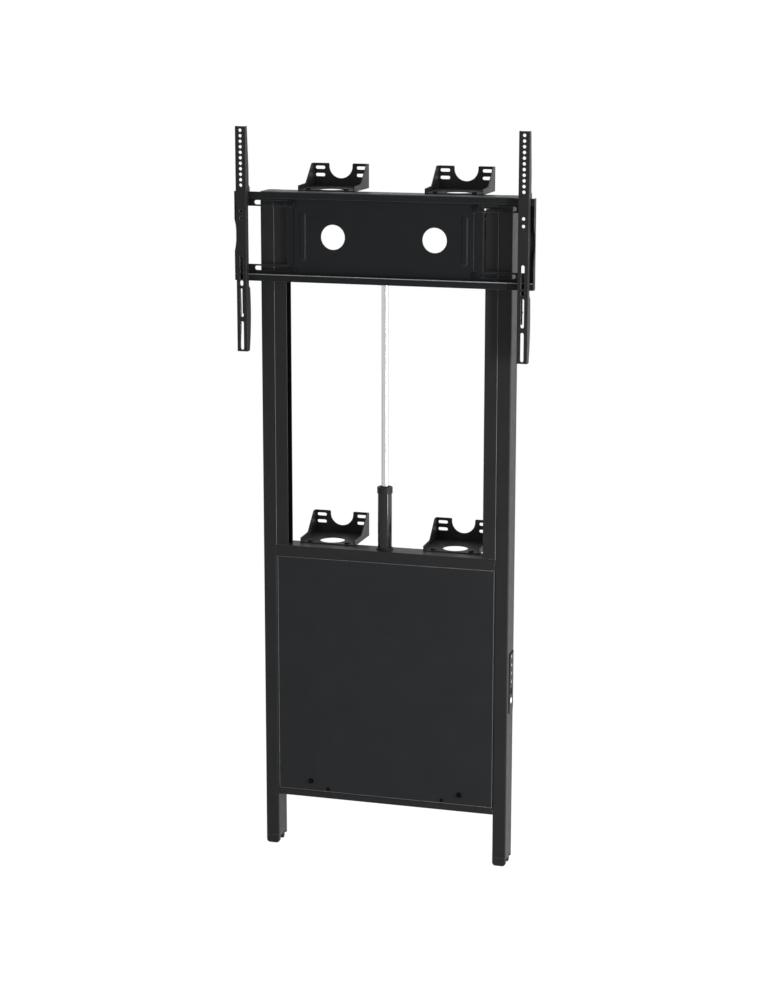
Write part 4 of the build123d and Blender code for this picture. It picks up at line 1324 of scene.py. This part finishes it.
@dataclass
class CylinderTrim(Builder):
    """Wiper, flange, motor bands and screws of the electric cylinder.

    Each screw is given as its head's radius and height.
    """

    # wiper
    wiper: float = 0.0022
    wiper_width: float = 0.0035
    wiper_round: float = 0.3
    # flange and housing screws
    flange: float = 0.005
    flange_radius: float = 0.0245
    flange_edge: float = 0.0006
    housing_screw: Pair = (0.0034, 0.003)
    housing_inset: float = 0.008
    past_flange: float = 0.002
    # cover of the gear housing
    cover: Triple = (0.074, 0.0024, 0.044)
    cover_edge: float = 0.0008
    cover_sunk: float = 0.0004
    cover_drop: float = 0.03
    cover_screw: Pair = (0.0028, 0.0018)
    cover_inset: float = 0.006
    # bands and ribs of the motor
    band: float = 0.0009
    band_height: float = 0.009
    band_edge: float = 0.0003
    band_sunk: float = 0.0004
    band_gap: Pair = (0.004, 0.014)
    rib: Triple = (0.0024, 0.0022, 0.062)
    rib_edge: float = 0.0005
    rib_count: int = 18
    # cap of the motor
    cap: float = 0.014
    cap_screw: Pair = (0.0022, 0.0016)
    cap_inset: float = 0.01
    cap_turns: Triple = (0.5, 2.6, 4.7)

    @staticmethod
    def axis(node: str) -> tuple[float, float, float, float, float]:
        """Find an upright round solid's axis, ends and radius.

        Args:
            node: The solid.

        Returns:
            X and Y of its axis, its lowest and highest Z, and its radius.
        """
        low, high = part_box(node)
        middle = ((low[0] + high[0]) / 2, (low[1] + high[1]) / 2)
        return *middle, low[2], high[2], (high[0] - low[0]) / 2

    def build_wiper(self) -> None:
        """Rubber lip round the rod, on the tube's cap."""
        x, y, _, top, _ = self.axis("tube_collar")
        bore = self.axis("actuator_rod")[-1]
        lip = Hardware.ring(
            bore + self.wiper_width, bore + CLEARANCE, self.wiper, self.wiper * self.wiper_round
        )
        piece = Workshop.spread("rod_wiper", lip, Facing.UP.at([(x, y, top)]))
        self.mount(piece, "frame", "wheel_rubber")

    def build_flange(self) -> None:
        """Ring and four screws at the tube's foot."""
        x, y, base, _, radius = self.axis("actuator_tube")
        ring = Hardware.ring(self.flange_radius, radius + CLEARANCE, self.flange, self.flange_edge)
        piece = Workshop.spread("tube_flange", ring, Facing.UP.at([(x, y, base)]))
        self.mount(piece, "frame", "cast_alloy")
        low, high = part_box("gear_housing")
        inset = self.housing_inset
        corners = [
            (across, deep, high[2])
            for across in (low[0] + inset, x + self.flange_radius + self.past_flange)
            for deep in (low[1] + inset, high[1] - inset)
        ]
        head = Hardware.socket_head(*self.housing_screw)
        screws = Workshop.spread("housing_screws", head, Facing.UP.at(corners))
        self.mount(screws, "frame", "black_zinc")

    def build_cover(self) -> None:
        """Cover with four screws on the gear housing's back."""
        low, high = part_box("gear_housing")
        width, thick, height = self.cover
        x = (low[0] + high[0]) / 2
        y = high[1] + thick / 2 - self.cover_sunk
        z = self.axis("actuator_tube")[2] - self.cover_drop
        cover = Workshop.slab("gear_cover", self.cover, (x, y, z))
        Workshop.soften(cover, self.cover_edge)
        self.mount(cover, "frame", "cast_alloy")
        reach, rise = width / 2 - self.cover_inset, height / 2 - self.cover_inset
        places = [
            (x + across * reach, y + thick / 2, z + up * rise) for across in HANDS for up in HANDS
        ]
        head = Hardware.cross_head(*self.cover_screw)
        screws = Workshop.spread("gear_cover_screws", head, Facing.BACK.at(places))
        self.mount(screws, "frame", "bright_steel")

    def build_motor(self) -> None:
        """Bands and cooling ribs round the motor, and screws in its cap."""
        x, y, base, top, radius = self.axis("motor")
        shoulder = top - self.cap
        band = Hardware.ring(
            radius + self.band, radius - self.band_sunk, self.band_height, self.band_edge
        )
        heights = (base + self.band_gap[0], shoulder - self.band_gap[1])
        bands = Workshop.spread("motor_bands", band, Facing.UP.at((x, y, z) for z in heights))
        self.mount(bands, "frame", "bright_steel")
        rib = Workshop.slab("rib", self.rib, (radius + self.rib[0] / 4, 0.0, 0.0))
        Workshop.soften(rib, self.rib_edge)
        middle = (x, y, (base + shoulder) / 2)
        turns = [math.tau * number / self.rib_count for number in range(self.rib_count)]
        ribs = Workshop.spread("motor_ribs", rib, [(middle, (0.0, 0.0, turn)) for turn in turns])
        self.mount(ribs, "frame", "tube_paint")
        reach = radius - self.cap_inset
        caps = Facing.UP.at(
            (x + reach * math.cos(turn), y + reach * math.sin(turn), top)
            for turn in self.cap_turns
        )
        head = Hardware.cross_head(*self.cap_screw)
        self.mount(Workshop.spread("motor_cap_screws", head, caps), "frame", "bright_steel")

    def build(self) -> None:
        """Build every trim part of the cylinder."""
        self.build_wiper()
        self.build_flange()
        self.build_cover()
        self.build_motor()


@dataclass
class ControlBoxTrim(Builder):
    """Lid screws, louvres and cable glands of the control box."""

    inset: float = 0.008
    screw: Pair = (0.003, 0.0019)
    louvre: Triple = (0.028, 0.0032, 0.0016)
    louvre_edge: float = 0.0009
    louvre_offset: float = 0.02
    louvre_count: int = 6
    gland_across: float = 0.016
    gland_heights: Triple = (0.004, 0.011, 0.0125)
    gland_shares: Pair = (0.4, 0.22)
    gland_edges: Pair = (0.0018, 0.0005)
    gland_level: float = 0.03
    gland_places: Pair = (0.3, 0.72)

    def build_lid(self) -> None:
        """Four screws and two rows of louvres on the lid."""
        low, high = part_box("control_lid")
        corners = [
            (x, y, high[2])
            for x in (low[0] + self.inset, high[0] - self.inset)
            for y in (low[1] + self.inset, high[1] - self.inset)
        ]
        head = Hardware.cross_head(*self.screw)
        screws = Workshop.spread("lid_screws", head, Facing.UP.at(corners))
        self.mount(screws, "frame", "bright_steel")
        hood = Workshop.slab("hood", self.louvre, (0.0, 0.0, self.louvre[2] / 2))
        Workshop.soften(hood, self.louvre_edge, segments=3)
        middle = (low[0] + high[0]) / 2
        pitch = (high[1] - low[1] - 2 * self.inset) / self.louvre_count
        start = low[1] + self.inset
        rows = [
            (middle + hand * self.louvre_offset, start + (row + 0.5) * pitch, high[2])
            for hand in HANDS
            for row in range(self.louvre_count)
        ]
        louvres = Workshop.spread("lid_louvres", hood, Facing.UP.at(rows))
        self.mount(louvres, "frame", "black_plastic")

    def build_glands(self) -> None:
        """Two cable glands in the box's left wall."""
        low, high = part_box("control_box")
        nut, neck, mouth = self.gland_heights
        wide, narrow = (self.gland_across * share for share in self.gland_shares)
        gland = Workshop.merge("gland", [
            Hardware.hexagon(self.gland_across, 0.0, nut),
            Hardware.disc(wide, nut, neck, self.gland_edges[0]),
            Hardware.disc(narrow, neck, mouth, self.gland_edges[1]),
        ])
        spots = Facing.LEFT.at(
            (low[0], low[1] + share * (high[1] - low[1]), low[2] + self.gland_level)
            for share in self.gland_places
        )
        self.mount(Workshop.spread("box_glands", gland, spots), "frame", "black_plastic")

    def build(self) -> None:
        """Add the box's small parts."""
        self.build_lid()
        self.build_glands()


@dataclass
class WheelHubs(Builder):
    """Hub discs on the feet's wheels."""

    radius: float = 0.0058
    rise: float = 0.0009

    def build(self) -> None:
        """Put a disc on the outer face of each wheel."""
        for side in SIDES:
            low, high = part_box(f"{side}_wheels")
            middle = ((low[1] + high[1]) / 2, (low[2] + high[2]) / 2)
            hub = Hardware.disc(self.radius, 0.0, self.rise, self.rise / 3)
            spots = Facing.LEFT.at([(low[0], *middle)]) + Facing.RIGHT.at([(high[0], *middle)])
            piece = Workshop.spread(f"{side}_wheel_hubs", hub, spots)
            self.mount(piece, f"{side}_wheel_pair", "black_plastic")


@dataclass
class Welds(Builder):
    """Welds behind the frame, where beams and guide posts meet the columns."""

    radius: float = 0.0024
    pitch: float = 0.0024
    stitch: int = 11
    post_stitches: int = 5
    rail_height: float = 0.01

    def bead(self) -> bpy.types.Object:
        """Make one rippled bead along the height, at the origin.

        Returns:
            The bead.
        """
        drops = [
            Workshop.bead("drop", self.radius, (0.0, 0.0, (number - self.stitch / 2) * self.pitch))
            for number in range(self.stitch)
        ]
        return Workshop.merge("bead", drops)

    def build(self) -> None:
        """Lay the beads in the inner corners of the back."""
        for side, sign in SIDES.items():
            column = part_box(f"{side}_column")
            inner = column[1][0] if sign < 0 else column[0][0]
            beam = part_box("mid_beam")
            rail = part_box("bottom_rail")
            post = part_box(f"{side}_guide_post")
            places = [
                (inner, beam[1][1], (beam[0][2] + beam[1][2]) / 2),
                (inner, rail[1][1], rail[0][2] + self.rail_height),
            ]
            room = (post[1][2] - post[0][2]) / self.post_stitches
            places += [
                (inner, post[1][1], post[0][2] + room * (number + 0.5))
                for number in range(self.post_stitches)
            ]
            piece = Workshop.spread(f"{side}_welds", self.bead(), Facing.UP.at(places))
            self.mount(piece, "frame", "powder_coat")


@dataclass(frozen=True)
class Lamp:
    """A soft rectangular lamp that faces a point above the object's middle."""

    name: str
    place: Triple
    target_height: float
    size: Pair
    watts: float


LAMPS = (
    Lamp("side_lamp", (3.9, 0.2, 1.25), 1.05, (3.4, 2.5), 114.0),
    Lamp("top_lamp", (0.3, 0.4, 4.6), 1.0, (2.6, 2.6), 60.0),
    Lamp("left_lamp", (-4.2, -1.8, 2.2), 1.1, (2.0, 3.0), 16.0),
    Lamp("front_lamp", (3.1, -1.6, 1.3), 1.0, (0.22, 2.2), 125.0),
)


@dataclass
class Studio:
    """Camera, lamps, floor and surroundings."""

    camera_place: Triple = (1.8102, -6.2486, 2.4465)
    camera_tilt: float = 77.775
    camera_turn: float = 16.302
    camera_roll: float = 0.05
    focal_pixels: float = 2347.8
    picture_height: float = 1000.0
    sensor: float = 36.0
    floor_size: float = 60.0
    floor_drop: float = 0.0005
    floor_colour: Triple = (0.82, 0.82, 0.82)
    floor_roughness: float = 0.9
    floor_gloss: float = 0.1
    floor_glow: float = 1.07
    floor_share: float = 0.9
    glows: Pair = (0.24, 0.80)
    glow_depths: Pair = (0.0, 0.6)

    def set_camera(self) -> None:
        """Put the camera where the photograph was taken."""
        data = bpy.data.cameras.new("studio_camera")
        data.sensor_width = self.sensor
        data.lens = self.focal_pixels * self.sensor / self.picture_height
        camera = bpy.data.objects.new("studio_camera", data)
        bpy.context.scene.collection.objects.link(camera)
        camera.location = self.camera_place
        turn = Matrix.Rotation(math.radians(self.camera_turn), 4, "Z")
        tilt = Matrix.Rotation(math.radians(self.camera_tilt), 4, "X")
        roll = Matrix.Rotation(math.radians(self.camera_roll), 4, "Z")
        camera.rotation_euler = (turn @ tilt @ roll).to_euler()
        bpy.context.scene.camera = camera

    @staticmethod
    def set_lamps() -> None:
        """Hang every lamp and turn it to the object."""
        for lamp in LAMPS:
            data = bpy.data.lights.new(lamp.name, "AREA")
            data.shape = "RECTANGLE"
            data.size, data.size_y = lamp.size
            data.energy = lamp.watts
            lit = bpy.data.objects.new(lamp.name, data)
            bpy.context.scene.collection.objects.link(lit)
            lit.location = lamp.place
            way = Vector((0.0, 0.0, lamp.target_height)) - Vector(lamp.place)
            lit.rotation_euler = way.to_track_quat("-Z", "Y").to_euler()

    def set_world(self) -> None:
        """Surround the object with white, weaker towards the front; the camera sees it plain."""
        world = bpy.data.worlds.new("studio_world")
        bpy.context.scene.world = world
        world.use_nodes = True
        sky = Tree(world.node_tree)
        sky.tree.nodes.clear()
        parts = sky.add("ShaderNodeSeparateXYZ")
        sky.join(sky.add("ShaderNodeTexCoord").outputs["Generated"], parts.inputs["Vector"])
        depth = parts.outputs["Y"]
        glow = sky.remap(depth, self.glow_depths, self.glows, interpolation_type="SMOOTHSTEP")
        white, grey = (sky.add("ShaderNodeBackground") for _ in range(2))
        for light in (white, grey):
            light.inputs["Color"].default_value = WHITE
        white.inputs["Strength"].default_value = 1.0
        sky.join(glow, grey.inputs["Strength"])
        output = sky.add("ShaderNodeOutputWorld")
        sky.blend(
            sky.seen(), grey.outputs["Background"], white.outputs["Background"],
            output.inputs["Surface"],
        )

    def set_floor(self) -> None:
        """Lay a plain pale floor that the camera sees as white, with a faint shadow."""
        Workshop.clear()
        place = (0.0, 0.0, -self.floor_drop)
        bpy.ops.mesh.primitive_plane_add(size=self.floor_size, location=place)
        floor = bpy.context.active_object
        floor.name = "studio_floor"
        bench = NodeBench("floor_paint")
        bench.shader.inputs["Base Color"].default_value = (*self.floor_colour, 1.0)
        bench.shader.inputs["Roughness"].default_value = self.floor_roughness
        bench.shader.inputs["Specular IOR Level"].default_value = self.floor_gloss
        glow = bench.add("ShaderNodeEmission")
        glow.inputs["Strength"].default_value = self.floor_glow
        share = bench.remap(bench.seen(), (0.0, 1.0), (0.0, self.floor_share))
        bench.blend(
            share, bench.shader.outputs["BSDF"], glow.outputs["Emission"],
            bench.tree.nodes["Material Output"].inputs["Surface"],
        )
        floor.data.materials.append(bench.material)

    def build(self) -> None:
        """Set up the whole studio."""
        bpy.context.scene.view_settings.view_transform = "Standard"
        self.set_camera()
        self.set_lamps()
        self.set_world()
        self.set_floor()


def main() -> None:
    """Build the studio, dress the solids and add the small parts."""
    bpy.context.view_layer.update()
    Studio().build()
    paint = Paint()
    log.info("%d solids dressed", paint.dress_solids(frame["record"]))
    for builder in (
        WallFixings, PlateFixings, PanelFixings, LockKnobs, KeypadTrim, EdgeTrim,
        CylinderTrim, ControlBoxTrim, WheelHubs, Welds,
    ):
        builder(paint).build()


if __name__ == "__main__":
    main()
